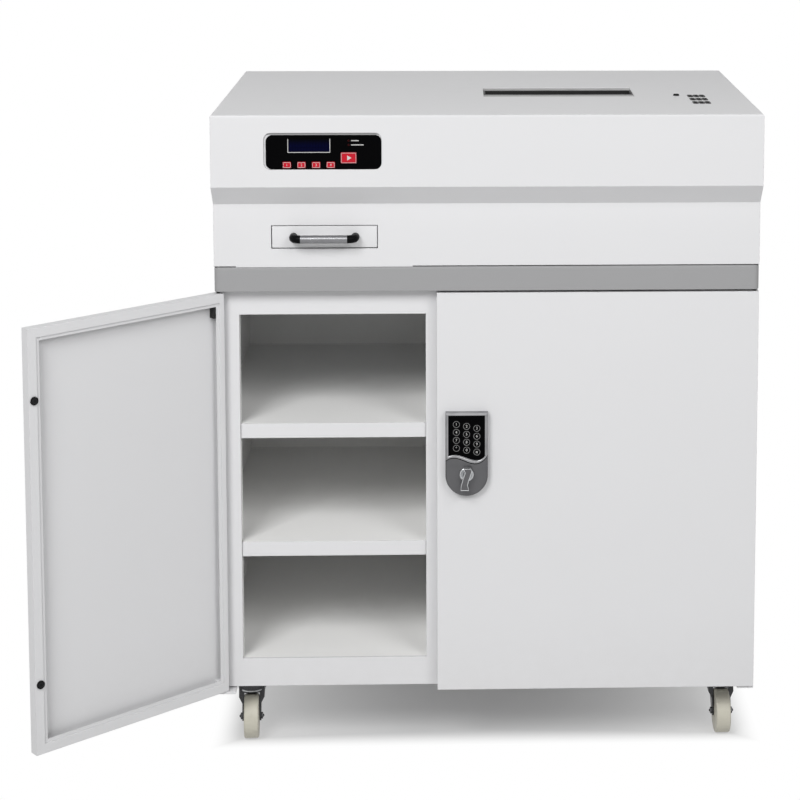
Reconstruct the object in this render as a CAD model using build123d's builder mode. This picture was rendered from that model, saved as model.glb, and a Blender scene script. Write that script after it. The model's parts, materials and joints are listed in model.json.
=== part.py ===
from build123d import *
import os
from math import cos, degrees, radians, sin, tan

# Media shredder in a steel cabinet on castors, in millimetres.
# +X is right, +Y is back and +Z is up. The origin is on the floor, under the middle of the cabinet.
os.makedirs("parts", exist_ok=True)

# Fits
running_gap = 0.05
slide_gap = 0.3
seat_gap = 0.1

# Carcass
cabinet_width = 800.0
cabinet_depth = 490.0
sheet = 2.0
castor_height = 100.0
base_plate_thickness = 3.0
base_height = 43.0
opening_height = 526.0
top_rail = 38.5
outer_stile = 34.0
centre_stile = 30.0
frame_depth = 20.0
upper_shelf_rise = 360.0
lower_shelf_rise = 179.0
shelf_lip = 22.0
shelf_setback = 3.5

# Doors
left_door_width = 322.0
door_reveal = 3.0
door_depth = 15.0
door_clearance = 2.5
door_drop = 1.8
door_head_gap = 3.5
door_lip = 13.6
hinge_lip = 8.0
left_door_open_angle = 139.2
pivot_inset = 5.0
pin_radius = 2.5
pin_reach = 11.0
pin_block_width = 14.5
pin_block_height = 34.0
foot_block_height = 15.5
bracket_width = 24.0
bracket_gap = 1.0
bracket_thickness = 3.0
bracket_length = 27.0
bumper_radius = 5.9
bumper_height = 2.0
bumper_inset = 101.0
bumper_edge = 8.2

# Lock on the right door
lock_width = 62.6
lock_height = 125.5
lock_depth = 12.0
lock_edge_inset = 12.4
lock_rise = 427.8
lock_bevel = 2.0
keypad_width = 54.2
keypad_top_margin = 3.4
keypad_wave_drop = 64.7
keypad_bend = 18.0
keypad_crest = 1.9
keypad_trough = 6.1
keypad_thickness = 1.2
keypad_sink = 1.4
knob_drop = 91.6
knob_radius = 10.5
knob_thickness = 5.0
lever_thickness = 8.0
lever_up = 7.0
lever_down = 17.5
lever_top_radius = 4.5
lever_end_radius = 5.5
lever_tilt = 9.0
spindle_radius = 5.0
spindle_hole_radius = 8.0
lock_case_width = 52.0
lock_case_height = 116.0
lock_case_depth = 38.5
cam_thickness = 3.0
cam_length = 32.0
cam_half_width = 8.0

# Head
belt_height = 36.0
belt_wall = 20.0
belt_proud = 1.0
belt_corner = 8.0
belt_bevel = 2.0
bed_thickness = 3.0
seam = 1.5
seam_tab_inset = 32.0
seam_tab_length = 258.0
lower_band = 94.0
slant_rise = 29.5
upper_band = 105.0
head_overhang = 29.0
head_edge = 3.0
vent_inset = 77.2
vent_setback = 129.7
vent_pitch_x = 9.2
vent_pitch_y = 36.3
vent_width = 6.2
vent_length = 22.0
vent_count = 3
rear_vent_count = 9
rear_vent_pitch = 14.0
rear_vent_x = -180.0
rear_vent_length = 60.0
rear_vent_width = 6.0

# Feed throat
slot_x = 112.0
slot_setback = 216.0
slot_width = 232.0
slot_depth = 101.0
throat_lap = 8.0
throat_flange = 2.0
throat_sink = 0.8
throat_wall = 2.0
slit_length = 226.0
slit_mouth = 40.0
slit_nip = 12.0
throat_clearance = 4.5

# Top button
button_x = 293.0
button_setback = 174.5
button_radius = 4.6
button_height = 2.5
button_travel_room = 6.0

# Control panel
console_inset = 161.5
panel_width = 169.6
panel_height = 53.4
panel_corner = 9.7
carrier_lap = 8.0
carrier_thickness = 2.0
overlay_thickness = 0.8
overlay_top_margin = 3.2
overlay_left_margin = 3.0
lcd_offset_x = -18.4
lcd_offset_z = 7.5
lcd_width = 62.3
lcd_height = 19.9
lcd_body_lap = 7.0
lcd_body_depth = 6.0
key_row_x = -20.0
key_row_z = -19.9
key_pitch = 21.0
key_width = 12.0
key_height = 9.0
key_count = 4
start_key_x = 37.3
start_key_z = -9.7
start_key_width = 22.6
start_key_height = 15.8
key_proud = 1.5
key_corner = 1.5
key_bevel = 0.5
key_flange = 1.0
lens_x = 37.3
lens_z = 12.1
lens_spacing = 6.2
lens_radius = 1.5
lens_length = 4.0

# Media drawer
drawer_drop = 2.2
drawer_width = 155.4
drawer_height = 34.7
drawer_recess = 12.0
drawer_front_thickness = 3.0
drawer_wall = 1.5
drawer_length = 165.0
drawer_gap = 0.4
sleeve_wall = 1.5
sleeve_length = 185.0
sleeve_leg_depth = 24.0
sleeve_leg_front = 20.0
handle_length = 102.0
handle_post_length = 17.0
handle_radius = 6.0
handle_reach = 30.0
coil_thickness = 22.0
coil_front = 45.0
coil_length = 75.0
coil_corner = 16.0

# Cutting block
cutter_drop = 100.0
cutter_radius = 26.5
cutter_core_radius = 20.0
cutter_spacing = 50.0
cutter_pitch = 13.4
cutter_thickness = 6.4
cutter_count = 17
cutter_teeth = 8
tooth_depth = 3.2
tooth_relief = 1.1
tooth_heel = 0.95
tooth_twist = 9.0
journal_radius = 12.5
bearing_radius = 18.0
side_plate_thickness = 12.0
side_plate_gap = 8.0
side_plate_depth = 150.0
side_plate_head = 43.0
side_plate_chamfer = 22.0
gear_seat_radius = 10.0
gear_width = 18.0
gear_gap = 2.0
gear_teeth = 20
gear_addendum = 2.5
gear_dedendum = 3.1
gear_tooth_tip = 1.6
gear_tooth_root = 5.0
tie_bar_radius = 7.0
tie_bar_inset = 15.0
comb_bar_depth = 10.0
comb_bar_height = 26.0
comb_gap = 2.5
comb_side_gap = 0.4
comb_core_gap = 1.0
comb_finger_height = 10.0
discharge_depth = 70.0

# Drive motor
gearbox_length = 52.0
gearbox_size = 104.0
motor_radius = 52.0
motor_length = 155.0
motor_foot_length = 110.0
motor_foot_depth = 84.0
shaft_into_gearbox = 35.0

# Power inlet in the back of the head
inlet_inset = 100.0
inlet_rise = 46.0
inlet_width = 50.0
inlet_height = 28.0
inlet_lip = 3.0
inlet_flange = 3.0
inlet_body = 30.0
inlet_well_depth = 18.0
inlet_well_margin = 7.0
inlet_pin_count = 3
inlet_pin_width = 6.0
inlet_pin_thickness = 2.0
inlet_pin_spacing = 13.0
inlet_pin_length = 15.0

# Waste bin
bin_left_gap = 21.5
bin_right_gap = 22.0
bin_front_gap = 34.0
bin_back_gap = 44.5
bin_head_gap = 46.0
bin_flare = 1.0
bin_corner = 12.0
bin_wall = 3.0
bin_rim = 6.0
bin_rim_height = 5.0

# Castors
castor_inset_x = 40.0
castor_inset_y = 87.0
wheel_radius = 32.5
wheel_width = 21.8
wheel_shoulder = 1.4
hub_width = 23.0
hub_radius = 10.0
axle_radius = 4.0
castor_trail = 22.0
castor_plate_size = 60.0
castor_plate_thickness = 3.0
race_radius = 16.0
race_height = 17.2
kingpin_radius = 5.0
kingpin_head_radius = 8.0
kingpin_head_height = 4.0
fork_crown_radius = 20.2
fork_crown_height = 13.0
fork_leg_thickness = 2.5
fork_leg_width = 24.0
fork_boss_radius = 7.5
fork_flare = 5.1
fork_flare_start = 19.5
fork_flare_rise = 9.0
castor_yaws = {"front_left": 3.0, "front_right": 1.0, "rear_left": 205.0, "rear_right": 150.0}

# Levels worked out from the sizes
half_width = cabinet_width / 2
y_front = -cabinet_depth / 2
y_back = cabinet_depth / 2
y_frame = y_front + door_depth + door_clearance
y_frame_back = y_frame + frame_depth
y_inner_back = y_back - sheet
x_inner = half_width - sheet
z_base = castor_height
z_floor = z_base + base_height
z_rail = z_floor + opening_height
z_carcass = z_rail + top_rail
z_bed = z_carcass + bed_thickness
z_belt = z_carcass + belt_height
z_lower = z_belt + lower_band
z_slant = z_lower + slant_rise
z_top = z_slant + upper_band
y_head = y_front - head_overhang
x_meet = -half_width + left_door_width + door_reveal / 2
left_opening = (-half_width + outer_stile, x_meet - centre_stile / 2)
right_opening = (x_meet + centre_stile / 2, half_width - outer_stile)
pivot_x = half_width - pivot_inset
pivot_y = y_front + door_depth / 2
z_door_bottom = z_base - door_drop
z_door_top = z_carcass - door_head_gap
z_panel = (z_slant + z_top) / 2
z_drawer = (z_belt + z_lower) / 2 - drawer_drop
z_cutter = z_top - cutter_drop
slot_y = y_front + slot_setback
vent_y = y_front + vent_setback
button_y = y_front + button_setback
vent_x = half_width - vent_inset
console_x = console_inset - half_width
seam_tab_left = seam_tab_inset - half_width
seam_tab_right = seam_tab_left + seam_tab_length
inlet_x = half_width - inlet_inset
castor_x = half_width - castor_inset_x
castor_y = y_back - castor_inset_y
y_cutters = {"front": slot_y - cutter_spacing / 2, "rear": slot_y + cutter_spacing / 2}
stack_length = cutter_pitch * cutter_count
x_plates = slot_width / 2 + side_plate_gap


def keep(piece, name):
    """Label a finished piece and write its file."""
    piece.part.label = name
    export_step(piece.part, f"parts/{name}.step")


def front_plane(y):
    """Upright plane at depth y, drawn in X and Z, that extrudes towards the front."""
    return Plane.XZ.offset(-y)


def side_plane(x):
    """Upright plane at x, drawn in Y and Z, that extrudes to the right."""
    return Plane.YZ.offset(x)


def level(z):
    """Flat plane at height z that extrudes upwards."""
    return Plane.XY.offset(z)


def middle(pair):
    """Middle of a pair of limits."""
    return (pair[0] + pair[1]) / 2


def span(pair):
    """Distance between a pair of limits."""
    return pair[1] - pair[0]


# Base: bottom plate that the castors bolt to, and the floor tray turned upside down on it
floor_y = (y_frame_back, y_inner_back)
with BuildPart() as base_plate:
    with BuildSketch(level(z_base)):
        with Locations((0, middle(floor_y))):
            Rectangle(2 * x_inner, span(floor_y))
    extrude(amount=base_plate_thickness)
keep(base_plate, "base_plate")

with BuildPart() as base_tray:
    with BuildSketch(level(z_base + base_plate_thickness)):
        with Locations((0, middle(floor_y))):
            Rectangle(2 * x_inner, span(floor_y))
    extrude(amount=base_height - base_plate_thickness)
    offset(amount=-sheet, openings=base_tray.faces().sort_by(Axis.Z)[0], kind=Kind.INTERSECTION)
keep(base_tray, "base_tray")

# Outer walls
wall_y = (y_frame, y_back)
wall_z = (z_base, z_carcass)
for name, x_wall in (("left_side_panel", -half_width), ("right_side_panel", x_inner)):
    with BuildPart() as side_panel:
        with BuildSketch(side_plane(x_wall)):
            with Locations((middle(wall_y), middle(wall_z))):
                Rectangle(span(wall_y), span(wall_z))
        extrude(amount=sheet)
    keep(side_panel, name)

with BuildPart() as back_panel:
    with BuildSketch(front_plane(y_back)):
        with Locations((0, middle(wall_z))):
            Rectangle(2 * x_inner, span(wall_z))
    extrude(amount=sheet)
keep(back_panel, "back_panel")

# Front frame: folded channels round the two door openings, open at the back
with BuildPart() as front_frame:
    with BuildSketch(front_plane(y_frame_back)):
        with Locations((0, middle(wall_z))):
            Rectangle(2 * x_inner, span(wall_z))
        for opening in (left_opening, right_opening):
            with Locations((middle(opening), z_floor + opening_height / 2)):
                Rectangle(span(opening), opening_height, mode=Mode.SUBTRACT)
    extrude(amount=frame_depth)
    with BuildSketch(front_plane(y_frame_back)):
        with Locations((0, middle(wall_z))):
            Rectangle(2 * (x_inner - sheet), span(wall_z) - 2 * sheet)
        for opening in (left_opening, right_opening):
            with Locations((middle(opening), z_floor + opening_height / 2)):
                Rectangle(span(opening) + 2 * sheet, opening_height + 2 * sheet, mode=Mode.SUBTRACT)
    extrude(amount=frame_depth - sheet, mode=Mode.SUBTRACT)
keep(front_frame, "front_frame")

# Partition between the cupboard and the bin bay, from the middle stile to the back
partition_y = (y_frame_back, y_inner_back)
partition_z = (z_floor, z_carcass)
with BuildPart() as centre_partition:
    with BuildSketch(side_plane(x_meet - sheet / 2)):
        with Locations((middle(partition_y), middle(partition_z))):
            Rectangle(span(partition_y), span(partition_z))
    extrude(amount=sheet)
    with BuildSketch(front_plane(y_frame_back)):
        with Locations((x_meet, z_rail - opening_height / 2)):
            Rectangle(centre_stile, opening_height)
    extrude(amount=-sheet)
keep(centre_partition, "centre_partition")

# Cupboard shelves: folded trays whose front lip fills the width of the door opening
shelf_x = (-x_inner, x_meet - sheet / 2)
shelf_y = (y_frame_back + sheet, y_inner_back)
tongue_y = (y_frame + shelf_setback, y_frame_back + sheet)
tongue_width = span(left_opening) - 2 * slide_gap
for name, rise in (("upper_shelf", upper_shelf_rise), ("lower_shelf", lower_shelf_rise)):
    with BuildPart() as shelf:
        with BuildSketch(level(z_floor + rise - sheet)):
            with Locations((middle(shelf_x), middle(shelf_y))):
                Rectangle(span(shelf_x), span(shelf_y))
            with Locations((middle(left_opening), middle(tongue_y))):
                Rectangle(tongue_width, span(tongue_y))
        extrude(amount=sheet)
        with BuildSketch(front_plane(tongue_y[0])):
            with Locations((middle(left_opening), z_floor + rise - shelf_lip / 2)):
                Rectangle(tongue_width, shelf_lip)
        extrude(amount=-sheet)
        with BuildSketch(front_plane(y_inner_back)):
            with Locations((middle(shelf_x), z_floor + rise - shelf_lip / 2)):
                Rectangle(span(shelf_x), shelf_lip)
        extrude(amount=sheet)
    keep(shelf, name)

# Waste bin: flared tub with a rolled rim
bin_width = span(right_opening) - bin_left_gap - bin_right_gap
bin_depth = y_inner_back - bin_back_gap - y_frame_back - bin_front_gap
bin_height = opening_height - bin_head_gap
bin_x = right_opening[0] + bin_left_gap + bin_width / 2
bin_y = y_frame_back + bin_front_gap + bin_depth / 2
bin_spread = 2 * bin_height * tan(radians(bin_flare))
bin_mouth_width = bin_width + bin_spread
bin_mouth_depth = bin_depth + bin_spread
with BuildPart() as waste_bin:
    with BuildSketch(level(z_floor)):
        with Locations((bin_x, bin_y)):
            RectangleRounded(bin_width, bin_depth, bin_corner)
    extrude(amount=bin_height, taper=-bin_flare)
    with BuildSketch(level(z_floor + bin_wall)):
        with Locations((bin_x, bin_y)):
            RectangleRounded(bin_width - 2 * bin_wall, bin_depth - 2 * bin_wall, bin_corner)
    extrude(amount=bin_height - bin_wall, taper=-bin_flare, mode=Mode.SUBTRACT)
    with BuildSketch(level(z_floor + bin_height - bin_rim_height)):
        with Locations((bin_x, bin_y)):
            RectangleRounded(bin_mouth_width + bin_rim, bin_mouth_depth + bin_rim, bin_corner)
            RectangleRounded(
                bin_mouth_width - 2 * bin_wall, bin_mouth_depth - 2 * bin_wall, bin_corner, mode=Mode.SUBTRACT
            )
    extrude(amount=bin_rim_height)
keep(waste_bin, "waste_bin")

# Belt: ring between cabinet and head, with the upper bearings of the door pins
belt_y = (y_front - belt_proud, y_back)
with BuildPart() as belt_trim:
    with BuildSketch(level(z_carcass)):
        with Locations((0, middle(belt_y))):
            RectangleRounded(cabinet_width, span(belt_y), belt_corner)
            Rectangle(cabinet_width - 2 * belt_wall, span(belt_y) - 2 * belt_wall, mode=Mode.SUBTRACT)
    extrude(amount=belt_height)
    belt_rim = belt_trim.faces().sort_by(Axis.Z)[-1].outer_wire().edges()
    chamfer(belt_rim, length=belt_bevel)
    with BuildSketch(level(z_carcass)):
        with Locations((-pivot_x, pivot_y), (pivot_x, pivot_y)):
            Circle(pin_radius + running_gap)
    extrude(amount=pin_reach + slide_gap, mode=Mode.SUBTRACT)
keep(belt_trim, "belt_trim")

# Machine bed inside the belt, with the chute to the bin
bed_y = (belt_y[0] + belt_wall, belt_y[1] - belt_wall)
with BuildPart() as machine_bed:
    with BuildSketch(level(z_carcass)):
        with Locations((0, middle(bed_y))):
            Rectangle(cabinet_width - 2 * belt_wall, span(bed_y))
        with Locations((slot_x, slot_y)):
            Rectangle(stack_length, discharge_depth, mode=Mode.SUBTRACT)
    extrude(amount=bed_thickness)
keep(machine_bed, "machine_bed")

# Head cover: folded hood with its feed, panel, drawer, vent and inlet cut-outs
hood_points = [
    (y_front, z_belt),
    (y_front, z_lower),
    (y_head, z_slant),
    (y_head, z_top),
    (y_back, z_top),
    (y_back, z_belt),
]
with BuildPart() as head_cover:
    with BuildSketch(side_plane(-half_width)):
        with BuildLine():
            Polyline(*hood_points, close=True)
        make_face()
    extrude(amount=cabinet_width)
    fillet(head_cover.edges().group_by(Axis.Z)[-1], radius=head_edge)
    with BuildSketch(side_plane(-x_inner)):
        with BuildLine():
            Polyline(*hood_points, close=True)
        make_face()
        offset(amount=-sheet, kind=Kind.INTERSECTION)
        with Locations((0, z_belt + sheet)):
            Rectangle(cabinet_depth - 2 * sheet, 2 * sheet)
    extrude(amount=2 * x_inner, mode=Mode.SUBTRACT)
    with BuildSketch(level(z_top)):
        with Locations((slot_x, slot_y)):
            Rectangle(slot_width, slot_depth)
        with Locations((vent_x, vent_y)):
            with GridLocations(vent_pitch_x, vent_pitch_y, vent_count, vent_count):
                SlotOverall(vent_length, vent_width, rotation=90)
        with Locations((button_x, button_y)):
            Circle(button_radius + slide_gap)
    extrude(amount=-sheet, mode=Mode.SUBTRACT)
    with BuildSketch(front_plane(y_head)):
        with Locations((console_x, z_panel)):
            RectangleRounded(panel_width, panel_height, panel_corner)
    extrude(amount=-sheet, mode=Mode.SUBTRACT)
    with BuildSketch(front_plane(y_front)):
        with Locations((console_x, z_drawer)):
            Rectangle(drawer_width, drawer_height)
        for seam_x in ((-half_width, seam_tab_left), (seam_tab_right, half_width)):
            with Locations((middle(seam_x), z_belt + seam / 2)):
                Rectangle(span(seam_x), seam)
    extrude(amount=-sheet, mode=Mode.SUBTRACT)
    with BuildSketch(front_plane(y_back)):
        with Locations((inlet_x, z_belt + inlet_rise)):
            Rectangle(inlet_width - 2 * inlet_lip, inlet_height - 2 * inlet_lip)
        with Locations((rear_vent_x, z_slant)):
            with GridLocations(rear_vent_pitch, rear_vent_pitch, rear_vent_count, 1):
                SlotOverall(rear_vent_length, rear_vent_width, rotation=90)
    extrude(amount=sheet, mode=Mode.SUBTRACT)
keep(head_cover, "head_cover")

# Feed throat: pad that fills the feed cut-out, with a funnel down to the cutters
z_throat_flange = z_top - sheet - throat_flange
z_throat_end = z_cutter + cutter_radius + throat_clearance
with BuildPart() as throat_plate:
    with BuildSketch(level(z_throat_flange)):
        with Locations((slot_x, slot_y)):
            Rectangle(slot_width + 2 * throat_lap, slot_depth + 2 * throat_lap)
    extrude(amount=throat_flange)
    with BuildSketch(level(z_top - sheet)):
        with Locations((slot_x, slot_y)):
            Rectangle(slot_width - 2 * slide_gap, slot_depth - 2 * slide_gap)
    extrude(amount=sheet - throat_sink)
    with BuildSketch(level(z_throat_flange)):
        with Locations((slot_x, slot_y)):
            Rectangle(slit_length + 2 * throat_wall, slit_mouth + 2 * throat_wall)
    with BuildSketch(level(z_throat_end)):
        with Locations((slot_x, slot_y)):
            Rectangle(slit_length + 2 * throat_wall, slit_nip + 2 * throat_wall)
    loft()
    with BuildSketch(level(z_top)):
        with Locations((slot_x, slot_y)):
            Rectangle(slit_length, slit_mouth)
    with BuildSketch(level(z_throat_end)):
        with Locations((slot_x, slot_y)):
            Rectangle(slit_length, slit_nip)
    loft(mode=Mode.SUBTRACT)
keep(throat_plate, "throat_plate")

# Round push button in the top, held under the sheet by its flange
with BuildPart() as top_button:
    with BuildSketch(level(z_top - button_travel_room)):
        with Locations((button_x, button_y)):
            Circle(button_radius)
    extrude(amount=button_travel_room + button_height)
    fillet(top_button.edges().sort_by(Axis.Z)[-1], radius=button_height / 2)
    with BuildSketch(level(z_top - button_travel_room)):
        with Locations((button_x, button_y)):
            Circle(button_radius + 2 * key_flange)
    extrude(amount=button_travel_room - sheet - slide_gap)
keep(top_button, "top_button")

# Control panel: carrier behind the cut-out, thin black overlay on it, display, lamps and keys
y_carrier = y_head + sheet
y_overlay = y_carrier - overlay_thickness
key_xs = [console_x + key_row_x + (i - (key_count - 1) / 2) * key_pitch for i in range(key_count)]
key_places = [(x, z_panel + key_row_z) for x in key_xs]
start_place = (console_x + start_key_x, z_panel + start_key_z)
lcd_place = (console_x + lcd_offset_x, z_panel + lcd_offset_z)
lens_places = [
    (console_x + lens_x, z_panel + lens_z + lens_spacing / 2),
    (console_x + lens_x, z_panel + lens_z - lens_spacing / 2),
]


def panel_holes():
    """Cut the openings for display, lamps and keys out of the sketch in hand."""
    with Locations(lcd_place):
        Rectangle(lcd_width, lcd_height, mode=Mode.SUBTRACT)
    with Locations(*lens_places):
        Circle(lens_radius + seat_gap, mode=Mode.SUBTRACT)
    with Locations(*key_places):
        Rectangle(key_width + 2 * slide_gap, key_height + 2 * slide_gap, mode=Mode.SUBTRACT)
    with Locations(start_place):
        Rectangle(start_key_width + 2 * slide_gap, start_key_height + 2 * slide_gap, mode=Mode.SUBTRACT)


with BuildPart() as fascia_carrier:
    with BuildSketch(front_plane(y_carrier)):
        with Locations((console_x, z_panel)):
            RectangleRounded(panel_width + 2 * carrier_lap, panel_height + 2 * carrier_lap, panel_corner)
        panel_holes()
    extrude(amount=-carrier_thickness)
keep(fascia_carrier, "fascia_carrier")

overlay_width = panel_width - overlay_left_margin - slide_gap
overlay_height = panel_height - overlay_top_margin - slide_gap
overlay_x = console_x + (overlay_left_margin - slide_gap) / 2
overlay_z = z_panel - (overlay_top_margin - slide_gap) / 2
with BuildPart() as control_fascia:
    with BuildSketch(front_plane(y_carrier)):
        with Locations((overlay_x, overlay_z)):
            RectangleRounded(overlay_width, overlay_height, panel_corner - slide_gap)
        panel_holes()
    extrude(amount=overlay_thickness)
keep(control_fascia, "control_fascia")

with BuildPart() as lcd_module:
    with BuildSketch(front_plane(y_carrier + carrier_thickness)):
        with Locations(lcd_place):
            Rectangle(lcd_width - 2 * seat_gap, lcd_height - 2 * seat_gap)
    extrude(amount=carrier_thickness + overlay_thickness / 2)
    with BuildSketch(front_plane(y_carrier + carrier_thickness)):
        with Locations(lcd_place):
            Rectangle(lcd_width + 2 * lcd_body_lap, lcd_height + lcd_body_lap)
    extrude(amount=-lcd_body_depth)
keep(lcd_module, "lcd_module")

with BuildPart() as status_lenses:
    with BuildSketch(front_plane(y_overlay - overlay_thickness)):
        with Locations(*lens_places):
            Circle(lens_radius)
    extrude(amount=-lens_length)
keep(status_lenses, "status_lenses")


def panel_key(place, width, height):
    """Rounded key cap that stands out of the overlay, with a flange behind the carrier."""
    with BuildPart() as key:
        y_stop = y_carrier + carrier_thickness + slide_gap
        with BuildSketch(front_plane(y_stop)):
            with Locations(place):
                RectangleRounded(width, height, key_corner)
        extrude(amount=y_stop - y_overlay + key_proud)
        chamfer(key.faces().sort_by(Axis.Y)[0].edges(), length=key_bevel)
        with BuildSketch(front_plane(y_stop)):
            with Locations(place):
                Rectangle(width + 2 * key_flange, height + 2 * key_flange)
        extrude(amount=-carrier_thickness)
    return key


for i, place in enumerate(key_places):
    keep(panel_key(place, key_width, key_height), f"function_key_{i + 1}")
keep(panel_key(start_place, start_key_width, start_key_height), "start_key")

# Media drawer: sleeve behind the cut-out on four legs, with a coil round it
y_sleeve = y_front + sheet
y_sleeve_back = y_sleeve + sleeve_length
sleeve_half = drawer_width / 2 + sleeve_wall
with BuildPart() as drawer_sleeve:
    with BuildSketch(front_plane(y_sleeve_back)):
        with Locations((console_x, z_drawer)):
            Rectangle(drawer_width + 2 * sleeve_wall, drawer_height + 2 * sleeve_wall)
            Rectangle(drawer_width, drawer_height, mode=Mode.SUBTRACT)
    extrude(amount=sleeve_length)
    leg_top = z_drawer
    leg_depths = (y_sleeve + sleeve_leg_front + sleeve_leg_depth / 2, y_sleeve_back - sleeve_leg_depth / 2)
    for x_leg in (console_x - sleeve_half, console_x + sleeve_half - sleeve_wall):
        with BuildSketch(side_plane(x_leg)):
            for y_leg in leg_depths:
                with Locations((y_leg, (z_bed + leg_top) / 2)):
                    Rectangle(sleeve_leg_depth, leg_top - z_bed)
        extrude(amount=sleeve_wall)
keep(drawer_sleeve, "drawer_sleeve")

with BuildPart() as degauss_coil:
    with BuildSketch(front_plane(y_sleeve + coil_front)):
        with Locations((console_x, z_drawer)):
            RectangleRounded(
                2 * (sleeve_half + coil_thickness),
                drawer_height + 2 * (sleeve_wall + coil_thickness),
                coil_corner,
            )
            Rectangle(
                2 * (sleeve_half + seat_gap),
                drawer_height + 2 * (sleeve_wall + seat_gap),
                mode=Mode.SUBTRACT,
            )
    extrude(amount=-coil_length)
keep(degauss_coil, "degauss_coil")

y_drawer = y_front + drawer_recess
tray_width = drawer_width - 2 * drawer_gap
tray_height = drawer_height - 2 * drawer_gap
with BuildPart() as drawer_front:
    with BuildSketch(front_plane(y_drawer)):
        with Locations((console_x, z_drawer)):
            Rectangle(tray_width, tray_height)
    extrude(amount=-drawer_front_thickness)
keep(drawer_front, "drawer_front")

with BuildPart() as drawer_tray:
    with BuildSketch(front_plane(y_drawer + drawer_front_thickness)):
        with Locations((console_x, z_drawer)):
            Rectangle(tray_width, tray_height)
    extrude(amount=-drawer_length)
    tray_mouth = drawer_tray.faces().sort_by(Axis.Z)[-1]
    offset(amount=-drawer_wall, openings=tray_mouth, kind=Kind.INTERSECTION)
keep(drawer_tray, "drawer_tray")

# Bow handle: two black elbows on the drawer front and a steel bar between them
y_grip = y_drawer - handle_reach
elbow_radius = handle_post_length - handle_radius
with BuildPart() as handle_posts:
    for side in (-1, 1):
        x_post = console_x + side * (handle_length / 2 - handle_radius)
        with BuildLine(level(z_drawer)):
            Line((x_post, y_drawer), (x_post, y_grip + elbow_radius))
            RadiusArc(
                (x_post, y_grip + elbow_radius), (x_post - side * elbow_radius, y_grip), side * elbow_radius
            )
        with BuildSketch(front_plane(y_drawer)):
            with Locations((x_post, z_drawer)):
                Circle(handle_radius)
        sweep()
keep(handle_posts, "handle_posts")

grip_length = handle_length - 2 * handle_post_length
with BuildPart() as handle_grip:
    with BuildSketch(side_plane(console_x - grip_length / 2)):
        with Locations((y_grip, z_drawer)):
            Circle(handle_radius)
    extrude(amount=grip_length)
keep(handle_grip, "handle_grip")


def polar(radius, angle):
    """Point at a radius and an angle in degrees."""
    return (radius * cos(radians(angle)), radius * sin(radians(angle)))


def shaft_plane(row, x, turn=0.0):
    """Plane across a cutter shaft at x, turned about the shaft."""
    return Plane(
        origin=(x, y_cutters[row], z_cutter),
        x_dir=(0, cos(radians(turn)), sin(radians(turn))),
        z_dir=(1, 0, 0),
    )


def disc_points(hand):
    """Outline of a cutting disc with hooked teeth that all lean one way."""
    pitch = 360 / cutter_teeth
    points = []
    for i in range(cutter_teeth):
        points.append(polar(cutter_radius, hand * i * pitch))
        points.append(polar(cutter_radius - tooth_relief, hand * (i + tooth_heel / 2) * pitch))
        points.append(polar(cutter_radius - tooth_depth, hand * (i + tooth_heel) * pitch))
    return points


def gear_points(phase):
    """Outline of a spur gear with flat-sided teeth, turned by a share of one tooth."""
    pitch_radius = cutter_spacing / 2
    root = (pitch_radius - gear_dedendum, gear_tooth_root / 2)
    tip = (pitch_radius + gear_addendum, gear_tooth_tip / 2)
    points = []
    for i in range(gear_teeth):
        centre = (i + phase) * 360 / gear_teeth
        for (radius, half), side in ((root, -1), (tip, -1), (tip, 1), (root, 1)):
            points.append(polar(radius, centre + side * degrees(half / radius)))
    return points


# Cutting shafts: each milled from one bar, with discs that run between those of the other shaft
x_left_plate = slot_x - x_plates - side_plate_thickness
x_right_plate = slot_x + x_plates
x_gear = x_right_plate + side_plate_thickness + gear_gap
shaft_left_ends = {"front": x_left_plate, "rear": x_left_plate - shaft_into_gearbox}
first_discs = {"front": slot_x - stack_length / 2, "rear": slot_x - stack_length / 2 + cutter_pitch / 2}
hands = {"front": 1, "rear": -1}
phases = {"front": 0.0, "rear": 0.5}
for row in ("front", "rear"):
    with BuildPart() as cutter_shaft:
        with BuildSketch(shaft_plane(row, slot_x - stack_length / 2)):
            Circle(cutter_core_radius)
        extrude(amount=stack_length)
        for i in range(cutter_count):
            disc_x = first_discs[row] + i * cutter_pitch
            with BuildSketch(shaft_plane(row, disc_x, hands[row] * i * tooth_twist)):
                with BuildLine():
                    Polyline(*disc_points(hands[row]), close=True)
                make_face()
            extrude(amount=cutter_thickness)
        with BuildSketch(shaft_plane(row, shaft_left_ends[row])):
            Circle(journal_radius)
        extrude(amount=x_right_plate + side_plate_thickness - shaft_left_ends[row])
        with BuildSketch(shaft_plane(row, x_right_plate)):
            Circle(gear_seat_radius)
        extrude(amount=x_gear + gear_width - x_right_plate)
    keep(cutter_shaft, f"{row}_cutter_shaft")

    with BuildPart() as timing_gear:
        with BuildSketch(shaft_plane(row, x_gear)):
            with BuildLine():
                Polyline(*gear_points(phases[row]), close=True)
            make_face()
            Circle(gear_seat_radius + running_gap, mode=Mode.SUBTRACT)
        extrude(amount=gear_width)
    keep(timing_gear, f"{row}_timing_gear")

# Cutter frame: two bearing plates on the bed, with bushes, tie bars and stripper combs
plate_z = (z_bed, z_cutter + side_plate_head)
with BuildPart() as cutter_side_plates:
    for x_plate in (x_left_plate, x_right_plate):
        with BuildSketch(side_plane(x_plate)) as plate_outline:
            with Locations((slot_y, middle(plate_z))):
                Rectangle(side_plate_depth, span(plate_z))
            chamfer(plate_outline.vertices().group_by(Axis.Z)[-1], length=side_plate_chamfer)
            with Locations(*[(y, z_cutter) for y in y_cutters.values()]):
                Circle(bearing_radius + seat_gap, mode=Mode.SUBTRACT)
        extrude(amount=side_plate_thickness)
keep(cutter_side_plates, "cutter_side_plates")

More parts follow.
